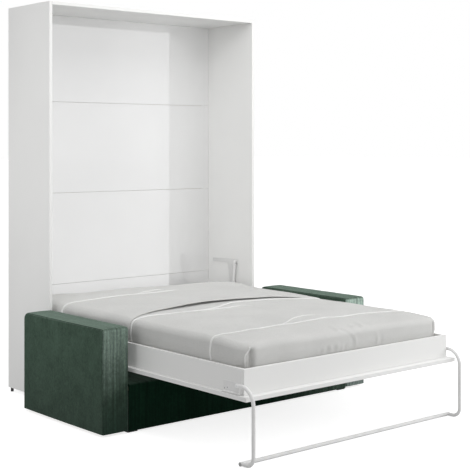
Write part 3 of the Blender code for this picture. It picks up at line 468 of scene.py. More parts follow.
def corduroy_finish(name, colour, across, sheen, streak, painted_tones, gloss=0.2, end=None):
    """Ribbed velvet with streaks in the pile, and painted shade between the ribs and towards the
    floor.

    The painted tones paint light and shade: they are the colours of a front's low and high parts
    and of a top, and the end is the colour of a front's right end, painted lighter as if lit from
    the right."""
    item = Finish(name, Sheen_Weight=sheen, Sheen_Roughness=0.42, Specular_IOR_Level=gloss)
    item.shader.inputs["Sheen Tint"].default_value = (0.62, 0.86, 0.74, 1.0)
    thin = {"X": (1.0, 0.018, 0.018), "Y": (0.018, 1.0, 0.018)}[across]
    streaks = item.noise(88.0, 2.0, item.stretched(thin), 0.0, 0.7)
    rub = item.noise(6.5, 5.0, None, 0.8, 0.68)
    brush = item.noise(120.0, 3.0, item.stretched((1.0, 1.0, 0.6)), 0.0, 0.65)
    pile = item.noise(900.0)
    backs = item.waves(RIB_PITCH, across)
    blots = item.noise(26.0, 4.0, None, 1.2, 0.62)
    place, normal = item.axes(item.place), item.axes(item.coordinates["Normal"])

    # Fronts get painted light and shade: one colour low down, one high up, with a border that
    # slants across each arm
    front = item.share(normal[1], -0.35, -0.9)
    lean = item.share(item.math("ABSOLUTE", place[0]), 0.79, 0.95, -0.045, 0.045)
    rise = item.math("ADD", place[2], lean)
    paint = item.drift(item.share(rub, 0.34, 0.66), colour, 0.88, 1.16)
    for (near, far), painted_tone in zip(((0.24, 0.05), (0.20, 0.44)), painted_tones):
        part = item.math("MULTIPLY", front, item.share(rise, near, far))
        paint = item.blend(part, paint, painted_tone)
    # Tops get a painted-light colour of their own
    paint = item.blend(item.share(normal[2], 0.30, 0.85), paint, painted_tones[2])
    # A front's right end is painted lighter, as if lit from the right
    if end:
        right = item.math("MULTIPLY", front, item.share(place[0], 0.20, 0.72))
        paint = item.blend(right, paint, end)

    # Pile streaks and blots, times painted shade towards the floor and between the ribs
    shade = item.share(streaks, 0.34, 0.66, 1 - streak, 1 + streak)
    for more in (
        item.share(brush, 0.32, 0.68, 0.78, 1.22),
        # Painted shade: darker towards the floor
        item.share(place[2], 0.0, 0.42, 0.66, 1.06),
        # Painted shade between the ribs
        item.share(backs, -1.0, 0.2, VALLEY[across], 1.0),
        item.share(blots, 0.34, 0.66, 0.84, 1.12),
        item.share(pile, 0.35, 0.70, 0.92, 1.15),
    ):
        shade = item.math("MULTIPLY", shade, more)
    paint = item.add("VectorMath", {0: paint, 3: shade}, operation="SCALE").outputs[0]
    return item.finish(paint, item.share(rub, 0.3, 0.7, 0.95, 0.80), item.bump(pile, 0.35, 0.0005))


FINISHES = {
    "white_board": board_finish("white_board", (0.80, 0.80, 0.79), 0.36),
    "gloss_board": board_finish("gloss_board", (0.765, 0.765, 0.765), 0.42, 1.0, 0.012, 3.4),
    "bare_board": chip_finish("bare_board", (0.56, 0.46, 0.33), (0.34, 0.25, 0.16), 0.78),
    "slat_wood": wood_finish("slat_wood", (0.70, 0.57, 0.40), (0.55, 0.41, 0.26), 0.5),
    "painted_steel": paint_finish("painted_steel", (0.76, 0.76, 0.755), 0.34),
    "zinc_steel": steel_finish("zinc_steel", (0.63, 0.64, 0.65), 0.33),
    "dark_steel": paint_finish("dark_steel", (0.055, 0.056, 0.058), 0.26, 0.35),
    "black_plastic": plastic_finish("black_plastic", (0.020, 0.020, 0.020), 0.46),
    "mattress_foam": cloth_finish("mattress_foam", (0.78, 0.77, 0.74), 0.0026, 0.1, 0.04, 0.8),
    "grey_cotton": cloth_finish("grey_cotton", (0.66, 0.66, 0.645), 0.0012),
    "foam": chip_finish("foam", (0.78, 0.70, 0.46), (0.62, 0.52, 0.30), 0.95),
}
PIPING = cloth_finish("white_piping", (0.86, 0.86, 0.85), 0.0009, 0.1, 0.02)
STAINED = chip_finish("stained_board", (0.020, 0.022, 0.020), (0.012, 0.013, 0.012), 0.8)
SCREW = steel_finish("screw_steel", (0.26, 0.26, 0.27), 0.35)
PLATE = paint_finish("plate_steel", (0.665, 0.665, 0.66), 0.34)
PLUG = plastic_finish("grey_plug", (0.42, 0.42, 0.42), 0.45)
# Nodes with a finish of their own, by the start of their names
OWN_FINISHES = (("seat_frame", STAINED), ("hinge_plate", PLATE))
# The photo's gloss boards mirror the cabinet with its hinges, and nothing else
MIRRORED = ("cabinet_", "back_", "hinge_", "pivot_", "gas_")

GREEN = (0.039, 0.069, 0.048)
# Painted light and shade of the arms: tops painted lighter; the left front painted lighter high up
# and darker low down where the bed shades it; the right front painted lighter all over, as if lit
# from the right
TOP_PAINTED_LIGHT = (0.094, 0.132, 0.104)
PAINTED_TONES = {
    "left": ((0.0135, 0.038, 0.023), (0.174, 0.236, 0.197), TOP_PAINTED_LIGHT),
    "right": ((0.26, 0.32, 0.295), (0.345, 0.445, 0.39), TOP_PAINTED_LIGHT),
}
# Lit and shaded copies of one corduroy, one per arm and rib direction, differing by their painted
# light
CORDUROY = {
    (side, across): corduroy_finish(
        f"green_corduroy_{side}_{across.lower()}", GREEN, across, 0.25, streak, PAINTED_TONES[side]
    )
    for side in PAINTED_TONES
    for across, streak in (("X", 0.34), ("Y", 0.06))
}
# The seat is painted in shade: a dark front, a top darker than the arms', and a right end painted
# lighter as if lit from the right
SEAT_SHADED_GREEN = (0.0035, 0.0190, 0.0095)
SEAT_PAINTED_TONES = (SEAT_SHADED_GREEN, tinted(SEAT_SHADED_GREEN, 1.3), (0.030, 0.054, 0.038))
SEAT_END = (0.070, 0.108, 0.084)
SEAT_CORDUROY = corduroy_finish(
    "green_corduroy_seat", SEAT_SHADED_GREEN, "X", 0.04, 0.28, SEAT_PAINTED_TONES, 0.05, SEAT_END
)


def dress_nodes():
    """Gives every CAD node that stays the finish of its own slot, or one of its own."""
    for name, node in NODES.items():
        node.visible_glossy = name.startswith(MIRRORED)
        own = [finish for start, finish in OWN_FINISHES if name.startswith(start)]
        for slot in node.material_slots:
            plain = FINISHES.get(slot.material.name.split(".")[0], slot.material)
            slot.material = own[0] if own else plain


# Meshes


def add_piece(name, points, faces, material, body, slot, replaces=(), sharp=None):
    mesh = bpy.data.meshes.new(name)
    mesh.from_pydata([tuple(p) for p in points], [], faces)
    mesh.validate()
    tidy = bmesh.new()
    tidy.from_mesh(mesh)
    bmesh.ops.recalc_face_normals(tidy, faces=tidy.faces)
    tidy.to_mesh(mesh)
    tidy.free()
    mesh.shade_smooth()
    if sharp:
        mesh.set_sharp_from_angle(angle=math.radians(sharp))
    mesh.materials.append(material)
    item = bpy.data.objects.new(name, mesh)
    item.visible_glossy = False
    bpy.context.scene.collection.objects.link(item)
    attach(item, body)
    if replaces:
        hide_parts(*replaces)
    return item


def merged(shapes):
    """Points and faces of several shapes as one."""
    points, faces = [], []
    for more, loops in shapes:
        faces += [tuple(v + len(points) for v in loop) for loop in loops]
        points += list(more)
    return points, faces


def grid_faces(rows, across):
    """Quads of a grid whose points run along each row in turn."""
    return [
        (a, a + 1, a + across + 1, a + across)
        for row in range(rows - 1)
        for a in range(row * across, row * across + across - 1)
    ]


def ring_faces(rings, sides):
    """Quads between rings of points, and a cap on both ends."""
    faces = []
    for start in range(0, (rings - 1) * sides, sides):
        for s in range(sides):
            t = (s + 1) % sides
            faces.append((start + s, start + t, start + sides + t, start + sides + s))
    faces.append(tuple(range(sides)))
    faces.append(tuple(range((rings - 1) * sides, rings * sides)))
    return faces


def run(path):
    """How far along a line each of its points lies."""
    steps = np.linalg.norm(np.diff(np.asarray(path, float), axis=0), axis=1)
    return np.concatenate(([0.0], np.cumsum(steps)))


def zip_rims(points, outer, inner):
    """Triangles between two closed rims that run the same way from the same place."""
    far_a, far_b = (run(points[rim + rim[:1]]) for rim in (outer, inner))
    far_a, far_b = far_a / far_a[-1], far_b / far_b[-1]
    faces, a, b = [], 0, 0
    while a < len(outer) or b < len(inner):
        here_a, here_b = outer[a % len(outer)], inner[b % len(inner)]
        if b == len(inner) or (a < len(outer) and far_a[a + 1] <= far_b[b + 1]):
            faces.append((here_a, outer[(a + 1) % len(outer)], here_b))
            a += 1
        else:
            faces.append((here_a, inner[(b + 1) % len(inner)], here_b))
            b += 1
    return faces


def outward_normals(points, faces):
    """Normals at the points of a skin of triangles and quads, turned up and out."""
    normals = np.zeros_like(points)
    for size in (3, 4):
        picked = np.array([f for f in faces if len(f) == size], dtype=int).reshape(-1, size)
        first = points[picked[:, 2]] - points[picked[:, 0]]
        second = points[picked[:, -1]] - points[picked[:, 1]]
        for column in range(size):
            np.add.at(normals, picked[:, column], np.cross(first, second))
    normals /= np.maximum(np.linalg.norm(normals, axis=1, keepdims=True), 1e-12)
    return -normals if normals[np.argmax(points[:, 2])][2] < 0 else normals


def fold(points, path, height, width, fade=0.3):
    """How far a soft fold along a polyline lifts each point."""
    path = np.asarray(path, float)
    far = run(path)
    best, where = np.full(len(points), 1e9), np.zeros(len(points))
    for k, step in enumerate(np.diff(path, axis=0)):
        length = far[k + 1] - far[k]
        share = np.clip(((points - path[k]) @ step) / length**2, 0, 1)
        gap = np.linalg.norm(points - (path[k] + share[:, None] * step), axis=1)
        nearer = gap < best
        best[nearer] = gap[nearer]
        where[nearer] = (far[k] + share[nearer] * length) / far[-1]
    ends = smooth(where / fade) * smooth((1 - where) / fade)
    return height * np.exp(-((best / width) ** 2)) * ends


def tube(path, normals, width, height, taper, sides=10):
    """A flat-backed cord along a path: points and faces of a closed tube."""
    along = np.gradient(path, axis=0)
    along /= np.linalg.norm(along, axis=1, keepdims=True)
    across = np.cross(along, normals)
    across /= np.linalg.norm(across, axis=1, keepdims=True)
    size = np.ones(len(path))
    if taper:
        share = np.arange(len(path)) / (len(path) - 1)
        size = np.maximum(smooth(share / taper) * smooth((1 - share) / taper), 0.12)
    turn = 2 * math.pi * np.arange(sides) / sides
    rise = np.sin(turn) * height * np.where(np.sin(turn) > 0, 1.0, 0.35)
    ring = across[:, None] * (np.cos(turn) * width / 2)[:, None] + normals[:, None] * rise[:, None]
    points = path[:, None] + size[:, None, None] * ring
    return points.reshape(-1, 3), ring_faces(len(path), sides)


# Bedding


def fallen(x, y):
    """How far the bedding's top falls off towards its foot, its head and its right edge."""
    reach = np.clip((MATTRESS_FOOT + FALL_LENGTH - y) / FALL_LENGTH, 0, 1)
    first, more = HEAD_FALL
    steep = first + more * smooth(x / MATTRESS_HALF)
    right = RIGHT_FALL * smooth((x - RIGHT_START) / 0.42) * smooth((0.75 - y) / 0.30)
    return FALL * reach**2 + right + steep * np.clip(y - HEAD_FALL_START, 0, None) ** 2


def right_draw(x, y):
    """How far the bedding is drawn in at the foot's right corner."""
    return RIGHT_DRAW_IN * smooth((x - RIGHT_START) / 0.40) * smooth((-0.55 - y) / 0.40)


def form_points(plan, heights, offset, y_end):
    """Points of the bedding's form from places in plan and plain heights."""
    x, y = plan.T
    half, edge = MATTRESS_HALF + offset, EDGE + offset
    length = MATTRESS_HEAD - MATTRESS_FOOT - 2 * CORNER
    share = np.clip((y - MATTRESS_FOOT - CORNER) / length, 0, 1)
    rise = CROWN
    for inset in (half - np.abs(x), np.abs(y_end - y)):
        part = np.clip((inset - edge) / (half - edge), 0, 1)
        rise = rise * np.sin(math.pi / 2 * part)
    level = np.clip((heights - HEM) / (MATTRESS_TOP - HEM), 0, None)
    x = x - DRAW_IN * np.sin(math.pi * share) * x / half
    x = x - right_draw(x, y)
    return np.stack([x, y, heights + rise - fallen(x, y) * level], axis=1)


def cover_form(y_cut, y_far, offset, spacing, level_steps, corner_steps, rounder=0.0):
    """A cover's skin, from a straight cut across the bed to one of its ends: its points and
    faces, and the points of its hem and of its cut."""
    sense = 1 if y_far > y_cut else -1
    y_end = y_far + sense * offset
    half, edge, radius = MATTRESS_HALF + offset, EDGE + offset, CORNER + offset + rounder
    top = MATTRESS_TOP + offset
    middle_x, middle_y = half - radius, y_end - sense * radius
    long_steps = max(2, round(abs(middle_y - y_cut) / spacing))
    wide_steps = max(2, round(2 * middle_x / spacing))
    side_steps, round_steps, ring_steps = level_steps
    long = [y_cut + (middle_y - y_cut) * k / long_steps for k in range(long_steps + 1)]
    wide = [-middle_x + 2 * middle_x * k / wide_steps for k in range(wide_steps + 1)]

    levels = []
    for share in np.arange(side_steps) / side_steps:
        levels.append((HEM_INSET * (1 - smooth(share / 0.6)), HEM + (top - edge - HEM) * share))
    levels += [level[:2] for level in rounding(edge, top, round_steps)]
    for k in range(1, ring_steps):
        levels.append((edge + (radius - edge) * k / ring_steps, top))

    plan, heights, rings = [], [], []
    for inset, height in levels:
        r = radius - inset
        left = [(-(half - inset), y) for y in long[:-1]]
        for turn in quarter(corner_steps)[:-1]:
            left.append((-(middle_x + r * math.cos(turn)), middle_y + sense * r * math.sin(turn)))
        line = left + [(x, y_end - sense * inset) for x in wide] + [(-x, y) for x, y in left[::-1]]
        rings.append(list(range(len(plan), len(plan) + len(line))))
        plan += line
        heights += [height] * len(line)
    grid = []
    for y in long:
        grid.append(list(range(len(plan), len(plan) + len(wide))))
        plan += [(x, y) for x in wide]
        heights += [top] * len(wide)
    left, right = ([row[end] for row in grid[:-1]] for end in (0, -1))
    left += [grid[-1][0]] * corner_steps
    right += [grid[-1][-1]] * corner_steps
    rings.append(left + grid[-1] + right[::-1])

    faces = []
    for lower, upper in zip(rings, rings[1:]):
        for k in range(len(lower) - 1):
            loop = (lower[k], lower[k + 1], upper[k + 1], upper[k])
            faces.append(tuple(v for n, v in enumerate(loop) if v != loop[n - 1]))
    for row, after in zip(grid, grid[1:]):
        for i in range(wide_steps):
            faces.append((row[i], after[i], after[i + 1], row[i + 1]))
    sides = rings[1:-1]
    cut = [ring[-1] for ring in sides] + grid[0][::-1] + [ring[0] for ring in sides][::-1]
    return form_points(np.array(plan), np.array(heights), offset, y_end), faces, rings[0], cut


def lined(points, faces, rim, *lining):
    """Closes a skin with a plainer lining, joined along its rim."""
    inner, inner_faces, hem, cut = cover_form(*lining)
    shift = len(points)
    points = np.concatenate([points, inner])
    faces = faces + [tuple(v + shift for v in face)[::-1] for face in inner_faces]
    return points, faces + zip_rims(points, rim, [v + shift for v in hem + cut])


def waves_over(points, height, scale, seed):
    """Slow, even rises and dips from a few sines."""
    draw = np.random.default_rng(seed)
    total = np.zeros(len(points))
    for _ in range(9):
        way = draw.normal(size=3)
        way /= np.linalg.norm(way)
        rate = 2 * math.pi / (scale * draw.uniform(0.7, 1.6))
        total += np.sin(points @ way * rate + draw.uniform(0, 2 * math.pi))
    return height * total / 4


def between(path, x):
    """A polyline across the bed, read at each x."""
    places, values = np.array(path).T
    return np.interp(x, places, values)


def shoulder_sag(points, offset):
    """The long edges give a little between the piped bands, more on the left."""
    x, y, z = points.T
    loose = smooth(np.min([np.abs(y - between(path, x)) for path in BANDS], axis=0) / 0.16)
    inset = MATTRESS_HALF + offset - np.abs(x)
    give, swell = np.where(x < 0, *EDGE_GIVE), np.where(x < 0, *EDGE_SWELL)
    drop = give * np.clip(1 - inset / GIVE_REACH, 0, 1) ** 2
    drop -= swell * np.exp(-(((inset - 0.20) / 0.12) ** 2))
    return drop * loose * smooth((z - 0.47) / 0.08)


def creases(points, table, z):
    return sum(fold(points, [(*p, z) for p in path], *size) for path, *size in table)


def foot_folds(points):
    """Creases of the foot cover: along its bands, and where it is tucked in at the foot."""
    total = creases(points, FOOT_CREASES, FOOT_CREASE_Z)
    for path, height in ((LOOSE_2, 0.0040), (LOOSE_3, 0.0044)):
        below = [(x, y - 0.026) for x, y in path]
        total += creases(points, ((path, height, 0.010, 0.25),), FOOT_CREST_Z)
        total -= creases(points, ((below, height * 0.6, 0.015, 0.3),), FOOT_CREST_Z)
    face = MATTRESS_FOOT - FOOT_THICKNESS
    for x, z_high, x_high, height, width in TUCKS:
        middle = (x, face, (0.436 + z_high) / 2)
        path = ((x, face, TUCK_FOOT_Z), middle, (x_high, face + 0.002, z_high))
        total += fold(points, path, height, width, 0.35)
    arch = [(x, face + y, z) for x, y, z in ARCH]
    total += fold(points, arch, 0.0040, 0.009, 0.25)
    total -= fold(points, [(x - 0.019, y, z - 0.004) for x, y, z in arch], 0.0024, 0.010, 0.3)
    for x_top, x_low, height in EDGE_FOLDS:
        middle = (0.4 * x_top + 0.6 * x_low, -0.945, 0.552)
        path = ((x_top, -0.870, 0.560), middle, (x_low, -0.982, 0.520))
        total += fold(points, path, height, 0.011, 0.35)
    for x, y in CORNER_FOLDS:
        path = ((x, y, 0.552), (x * 1.18, y - 0.02, 0.535), (x * 1.36, y - 0.03, 0.500))
        total += fold(points, path, 0.0026, 0.016, 0.4)
    return total


def corner_point(sign, turn, inset=0.0):
    """A place in plan on a foot corner's arc, and the way out of it."""
    radius = CORNER + FOOT_THICKNESS
    angle = math.radians(turn)
    out = np.array([sign * math.cos(angle), -math.sin(angle), 0.0])
    x = (MATTRESS_HALF + FOOT_THICKNESS - radius) * sign - (RIGHT_DRAW_IN if sign > 0 else 0.0)
    middle = np.array([x, MATTRESS_FOOT - FOOT_THICKNESS + radius, 0.0])
    return middle + out * (radius - inset), out


def corner_hollows(points):
    """A deep tuck beside each upright corner seam, on the foot's side."""
    total = np.zeros(len(points))
    for sign, turn, width in HOLLOWS:
        place, _ = corner_point(sign, turn)
        line = [(place[0], place[1], z) for z in (HEM - 0.04, 0.47, 0.532)]
        total -= fold(points, line, HOLLOW_DEPTH, width, 0.20)
    return total


def side_pleats(points):
    """Shallow upright dents in the long sides."""
    total = np.zeros(len(points))
    draw = np.random.default_rng(PLEAT_SEED)
    for sign in (-1, 1):
        x = sign * (MATTRESS_HALF + FOOT_THICKNESS)
        for y in PLEATS:
            y = y + draw.uniform(-0.03, 0.03)
            lean = draw.uniform(-0.03, 0.03)
            height = draw.uniform(-MOST_PLEAT, MOST_PLEAT)
            path = ((x, y, 0.42), (x, y + lean, 0.47), (x - sign * 0.01, y + 2 * lean, 0.515))
            total += fold(points, path, height, draw.uniform(0.014, 0.030), 0.4)
    return total


def bands_press(points, offset, bands):
    """A cover is drawn in a little along each piped band, most where it rounds the edge."""
    x, y, z = points.T
    inset = np.clip(MATTRESS_HALF + offset - np.abs(x), 0, None)
    depth = np.clip(MATTRESS_TOP + offset - z, 0, None)
    corner = np.where(x < 0, *EDGE_PRESS) * np.exp(-(((inset + depth) / 0.055) ** 2))
    total = np.zeros(len(points))
    for path in bands:
        gap = y - between(path, x)
        total -= BAND_PRESS * np.exp(-((gap / 0.020) ** 2))
        total -= corner * np.exp(-((gap / 0.040) ** 2))
    return total


def make_foot_cover():
    skin = cover_form(COVER_BACK, MATTRESS_FOOT, FOOT_THICKNESS, *FOOT_MESH)
    points, faces, hem, cut = skin
    normals = outward_normals(points, faces)
    lift = waves_over(points, *FOOT_WAVES) + bands_press(points, FOOT_THICKNESS, BANDS[2:])
    lift += side_pleats(points) + corner_hollows(points) + foot_folds(points)
    bare = smooth((between(LIP_PATH, points[:, 0]) - 0.004 - points[:, 1]) / 0.030)
    press = bands_press(points, FOOT_THICKNESS, BANDS[1:2])
    free = smooth((points[:, 2] - HEM + 0.009) / 0.010)
    lift = (np.minimum(lift, MOST_FOOT_LIFT) * bare + press) * free
    points = points + normals * lift[:, None]
    points[:, 2] -= shoulder_sag(points, FOOT_THICKNESS)
    lining = (COVER_BACK, MATTRESS_FOOT, FOOT_LINING, *FOOT_LINING_MESH)
    return lined(points, faces, hem + cut, *lining)


def make_head_cover():
    skin = cover_form(LIP_Y, MATTRESS_HEAD, HEAD_THICKNESS, *HEAD_MESH)
    points, faces, hem, cut = skin
    normals = outward_normals(points, faces)
    along = points[:, 1] - LIP_Y
    points[:, 1] += (between(LIP_PATH, points[:, 0]) - LIP_Y) * (1 - smooth(along / 0.30))
    lift = waves_over(points, *HEAD_WAVES) + bands_press(points, HEAD_THICKNESS, BANDS[:1])
    lift += side_pleats(points) + creases(points, ((LOOSE_1, 0.0040, 0.010),), HEAD_CREST_Z)
    lift += creases(points, HEAD_CREASES, HEAD_CREASE_Z)
    lip = np.exp(-((along / 0.030) ** 2))
    lift = np.minimum(lift, MOST_HEAD_LIFT) * (1 - 0.7 * lip) + 0.0008 * lip
    lift += (between(SLOT_OPEN, points[:, 0]) - SLOT) * (1 - smooth(along / 0.11))
    over = points[:, 1] < COVER_BACK + 0.02
    lift[over] = np.maximum(lift[over], 0.0003 - SLOT)
    press = bands_press(points, HEAD_THICKNESS, BANDS[1:2])
    free = smooth((points[:, 2] - HEM) / 0.010)
    points = points + normals * ((lift + press) * free)[:, None]
    sag = shoulder_sag(points, HEAD_THICKNESS)
    points[:, 2] -= sag

    ways = normals[cut] * np.array([1.0, 0.0, 1.0])
    ways /= np.linalg.norm(ways, axis=1, keepdims=True)
    rows = [cut]
    for row in folded_under(points[cut], ways, press[cut], sag[cut]):
        last, here = rows[-1], list(range(len(points), len(points) + len(row)))
        points = np.concatenate([points, row])
        faces += [(last[k], last[k + 1], here[k + 1], here[k]) for k in range(len(row) - 1)]
        rows.append(here)
    right_end, left_end = ([row[end] for row in rows[:-1]] for end in (0, -1))
    rim = hem + right_end + rows[-1] + left_end[::-1]
    return lined(points, faces, rim, COVER_BACK, MATTRESS_HEAD, HEAD_LINING, *HEAD_LINING_MESH)


def folded_under(edge, ways, press, sag):
    """Rows of points by which the head cover's edge turns under and runs back."""
    rows = []
    for turn in np.radians(LIP_TURNS):
        row = edge - ways * (LIP_DEPTH / 2 * (1 - math.cos(turn)))
        row[:, 1] -= LIP_DEPTH / 2 * math.sin(turn)
        rows.append(row)
    for share in LIP_SHARES:
        row = edge - ways * (LIP_DEPTH + press[:, None])
        row[:, 1] += (COVER_BACK - edge[:, 1]) * share
        pressed = bands_press(row, FOOT_THICKNESS, BANDS[1:2])
        sagged = shoulder_sag(row, FOOT_THICKNESS)
        row += ways * pressed[:, None]
        row[:, 2] -= sagged - sag
        rows.append(row)
    return rows


def dropped(tree, points, ways, reach=0.06):
    """Where lines from outside meet a surface, and the surface's normals there."""
    found, normals = [], []
    for point, way in zip(points, ways):
        point, way = Vector(point), Vector(way).normalized()
        hit, normal, _, _ = tree.ray_cast(point + way * reach, -way, 2 * reach)
        if hit is not None:
            found.append(np.array(hit))
            normals.append(np.array(-normal if normal.dot(way) < 0 else normal))
    return found, normals


def evened(path, normals, spacing):
    """The same line with even steps, and its normals smoothed."""
    along = run(path)
    places = np.linspace(0, along[-1], max(4, int(along[-1] / spacing)))
    path, normals = (
        np.stack([np.interp(places, along, column) for column in np.array(table).T], axis=1)
        for table in (path, normals)
    )
    for _ in range(3):
        normals[1:-1] = (normals[:-2] + normals[1:-1] * 2 + normals[2:]) / 4
    return path, normals / np.linalg.norm(normals, axis=1, keepdims=True)


def band_over(path, offset, ends):
    """The line of a band over the bed between two ends across, and the ways it faces."""
    half, edge, top = MATTRESS_HALF + offset, EDGE + offset, MATTRESS_TOP + offset
    low, reach = HEM + PIPING_RISE, half - edge
    line = [(-half, low + (top - edge - low) * k / 6) for k in range(6)]
    ways = [(-1.0, 0, 0)] * 6
    for inset, z, out, up in rounding(edge, top, 12)[:-1]:
        line.append((inset - half, z))
        ways.append((-out, 0, up))
    other = [(-x, z) for x, z in line[::-1]], [(-a, 0, c) for a, _, c in ways[::-1]]
    line += [(-reach + 2 * reach * k / 120, top) for k in range(121)] + other[0]
    ways += [(0, 0, 1)] * 121 + other[1]
    y = between(path, [x for x, _ in line])
    for _ in range(4):
        y[1:-1] = (y[:-2] + 2 * y[1:-1] + y[2:]) / 4
    kept = [k for k, (x, _) in enumerate(line) if ends[0] <= x <= ends[1]]
    return [(line[k][0], y[k], line[k][1]) for k in kept], [ways[k] for k in kept]


def make_piping(name, line, ways, tree, size, taper=0.0):
    """White piping that lies on a cover along a line."""
    path, normals = evened(*dropped(tree, line, ways), PIPING_SPACING)
    points, faces = tube(path + normals * PIPING_LIFT, normals, *size, taper)
    add_piece(name, points, faces, PIPING, "bed", "grey_cotton")


def make_band(name, path, offset, tree, ends=(-1, 1), taper=0.0):
    make_piping(name, *band_over(path, offset, ends), tree, BAND_SIZE, taper)


def make_crease_highlight(name, plan, tree):
    """A white cord along a crease beside a band, which paints the crease's highlight."""
    steps = np.linspace(0, len(plan) - 1, LOOSE_STEPS)
    x, y = (np.interp(steps, range(len(plan)), column) for column in np.array(plan).T)
    line = [(*place, LOOSE_Z) for place in zip(x, y)]
    make_piping(name, line, [(0, 0, 1)] * LOOSE_STEPS, tree, CREASE_HIGHLIGHT_SIZE, 0.3)


def make_corner_piping(name, sign, tree):
    """Upright piping on a foot corner, which leans over towards the top."""
    edge, top = EDGE + FOOT_THICKNESS, MATTRESS_TOP + FOOT_THICKNESS
    low = HEM + PIPING_RISE
    line, ways = [], []
    start, most = CORNER_PIPING_TURN[sign]
    for k in range(14):
        z = low + (top - 0.026 - low) * k / 13
        lean = float(smooth((z - 0.484) / 0.046))
        up = math.asin(min(max((z - (top - edge)) / edge, 0.0), 1.0))
        place, out = corner_point(sign, start + most * lean, edge * (1 - math.cos(up)))
        line.append(place + np.array([0, 0, z]))
        ways.append(out * math.cos(up) + np.array([0, 0, math.sin(up)]))
    make_piping(name, line, ways, tree, CORNER_PIPING_SIZE)


def make_mattress():
    """The mattress as a closed pad under its covers."""
    half, edge, radius = MATTRESS_HALF - PAD_INSET, EDGE - PAD_INSET, CORNER + 0.050
    foot, head = MATTRESS_FOOT + PAD_INSET, MATTRESS_HEAD - PAD_INSET
    top = MATTRESS_TOP - PAD_INSET
    corners = []
    for quarters, (across, end) in enumerate(((1, head), (-1, head), (-1, foot), (1, foot))):
        middle = across * (half - radius), end + (radius if end == foot else -radius)
        for turn in math.pi / 2 * quarters + quarter(7):
            corners.append(np.add(middle, (radius * math.cos(turn), radius * math.sin(turn))))
    outline = []
    for a, b in zip(corners, corners[1:] + corners[:1]):
        count = max(1, round(math.dist(a, b) / PAD_SPACING))
        outline += [a + (b - a) * k / count for k in range(count)]
    x, y = np.array(outline).T

    levels = [(0.30, MATTRESS_REST), (0.024, MATTRESS_REST), (0.014, MATTRESS_REST + 0.010)]
    levels += [(0.012, MATTRESS_REST + 0.05), (0.012, HEM + 0.012), (0.006, HEM + 0.035)]
    levels += [level[:2] for level in rounding(edge, top, 5)]
    levels += [(0.12, top + 0.002), (0.22, top + 0.005), (0.36, top + 0.009), (0.55, top + 0.011)]
    middle, long = (foot + head) / 2, (head - foot) / 2
    points = []
    for inset, z in levels:
        px = x * (half - inset) / half
        px = px - PAD_DRAW_IN * px / half - right_draw(px, y)
        py = middle + (y - middle) * (long - inset) / long
        give = PAD_GIVE * np.clip(1 - (half - np.abs(px)) / GIVE_REACH, 0, None) ** 2
        give += fallen(px, py)
        points += zip(px, py, z - give * max(0.0, (z - HEM) / (MATTRESS_TOP - HEM)))
    foam = FINISHES["mattress_foam"]
    faces = ring_faces(len(levels), len(x))
    item = add_piece("mattress_pad", points, faces, foam, "bed", "mattress_foam", ("mattress",))


def make_bedding():
    make_mattress()
    cotton = FINISHES["grey_cotton"], "bed", "grey_cotton"
    points, faces = make_foot_cover()
    foot = add_piece("foot_bedspread", points, faces, *cotton, ("foot_cover",), 60)
    tree = BVHTree.FromPolygons([tuple(p) for p in points], faces)
    make_band("piping_band_2", BANDS[1], FOOT_THICKNESS, tree)
    make_band("piping_band_3", BANDS[2], FOOT_THICKNESS, tree)
    # White cords on two creases, as painted highlights
    make_crease_highlight("crease_highlight_cord_2", LOOSE_2, tree)
    make_crease_highlight("crease_highlight_cord_3", LOOSE_3, tree)
    for side, sign in SIDES:
        make_corner_piping(f"piping_corner_{side}", sign, tree)
    points, faces = make_head_cover()
    head = add_piece("head_quilt", points, faces, *cotton, ("head_cover",), 60)
    tree = BVHTree.FromPolygons([tuple(p) for p in points], faces)
    make_band("piping_band_1", BANDS[0], HEAD_THICKNESS, tree, (-1, 0.13), 0.06)
    # A white cord on a crease, as a painted highlight
    make_crease_highlight("crease_highlight_cord_1", LOOSE_1, tree)


# Sofa


def rib_columns(first, last, near):
    """Places across a run of ribs, in step with the shader, and the ribs' height at each."""
    counts = np.arange(math.floor(first / RIB_PITCH) - 1, math.ceil(last / RIB_PITCH) + 1)
    places = (counts[:, None] + np.array(RIB_SAMPLES)).ravel() * RIB_PITCH
    places = places[(places > first) & (places < last)]
    near = np.array((0.0, *near))
    places = np.unique(np.concatenate([places, first + near, last - near]))
    return places, RIB_HEIGHT * (0.5 + 0.5 * np.sin(2 * math.pi * places / RIB_PITCH))


def rolled(gap):
    """How deep a rolled edge lies below its face, at a distance in from the seam."""
    along = np.clip(SET_IN + ROLL - gap, 0, ROLL)
    return ROLL - np.sqrt(np.maximum(ROLL**2 - along**2, 0))


def edge_steps(length, spacing):
    """Even steps along a length with closer ones near both ends."""
    near = [n for n in NEAR_END if n < length / 3]
    count = max(2, round((length - 2 * near[-1]) / spacing))
    middle = np.linspace(near[-1], length - near[-1], count + 1)
    return np.array(near[:-1] + list(middle) + [length - n for n in near[:-1]][::-1])


def arm_tops(y, first, last, top):
    """Height of the arm's rounded outline at each place along it, inside the seam."""
    front, rear = ARM_FRONT_RADIUS - SEAM, ARM_REAR_RADIUS - SEAM
    drop = np.zeros(len(y))
    for radius, inset in ((front, y - first), (rear, last - y)):
        inside = np.clip(radius - inset, 0, None)
        drop += radius - np.sqrt(np.maximum(radius**2 - inside**2, 0))
    return top - drop


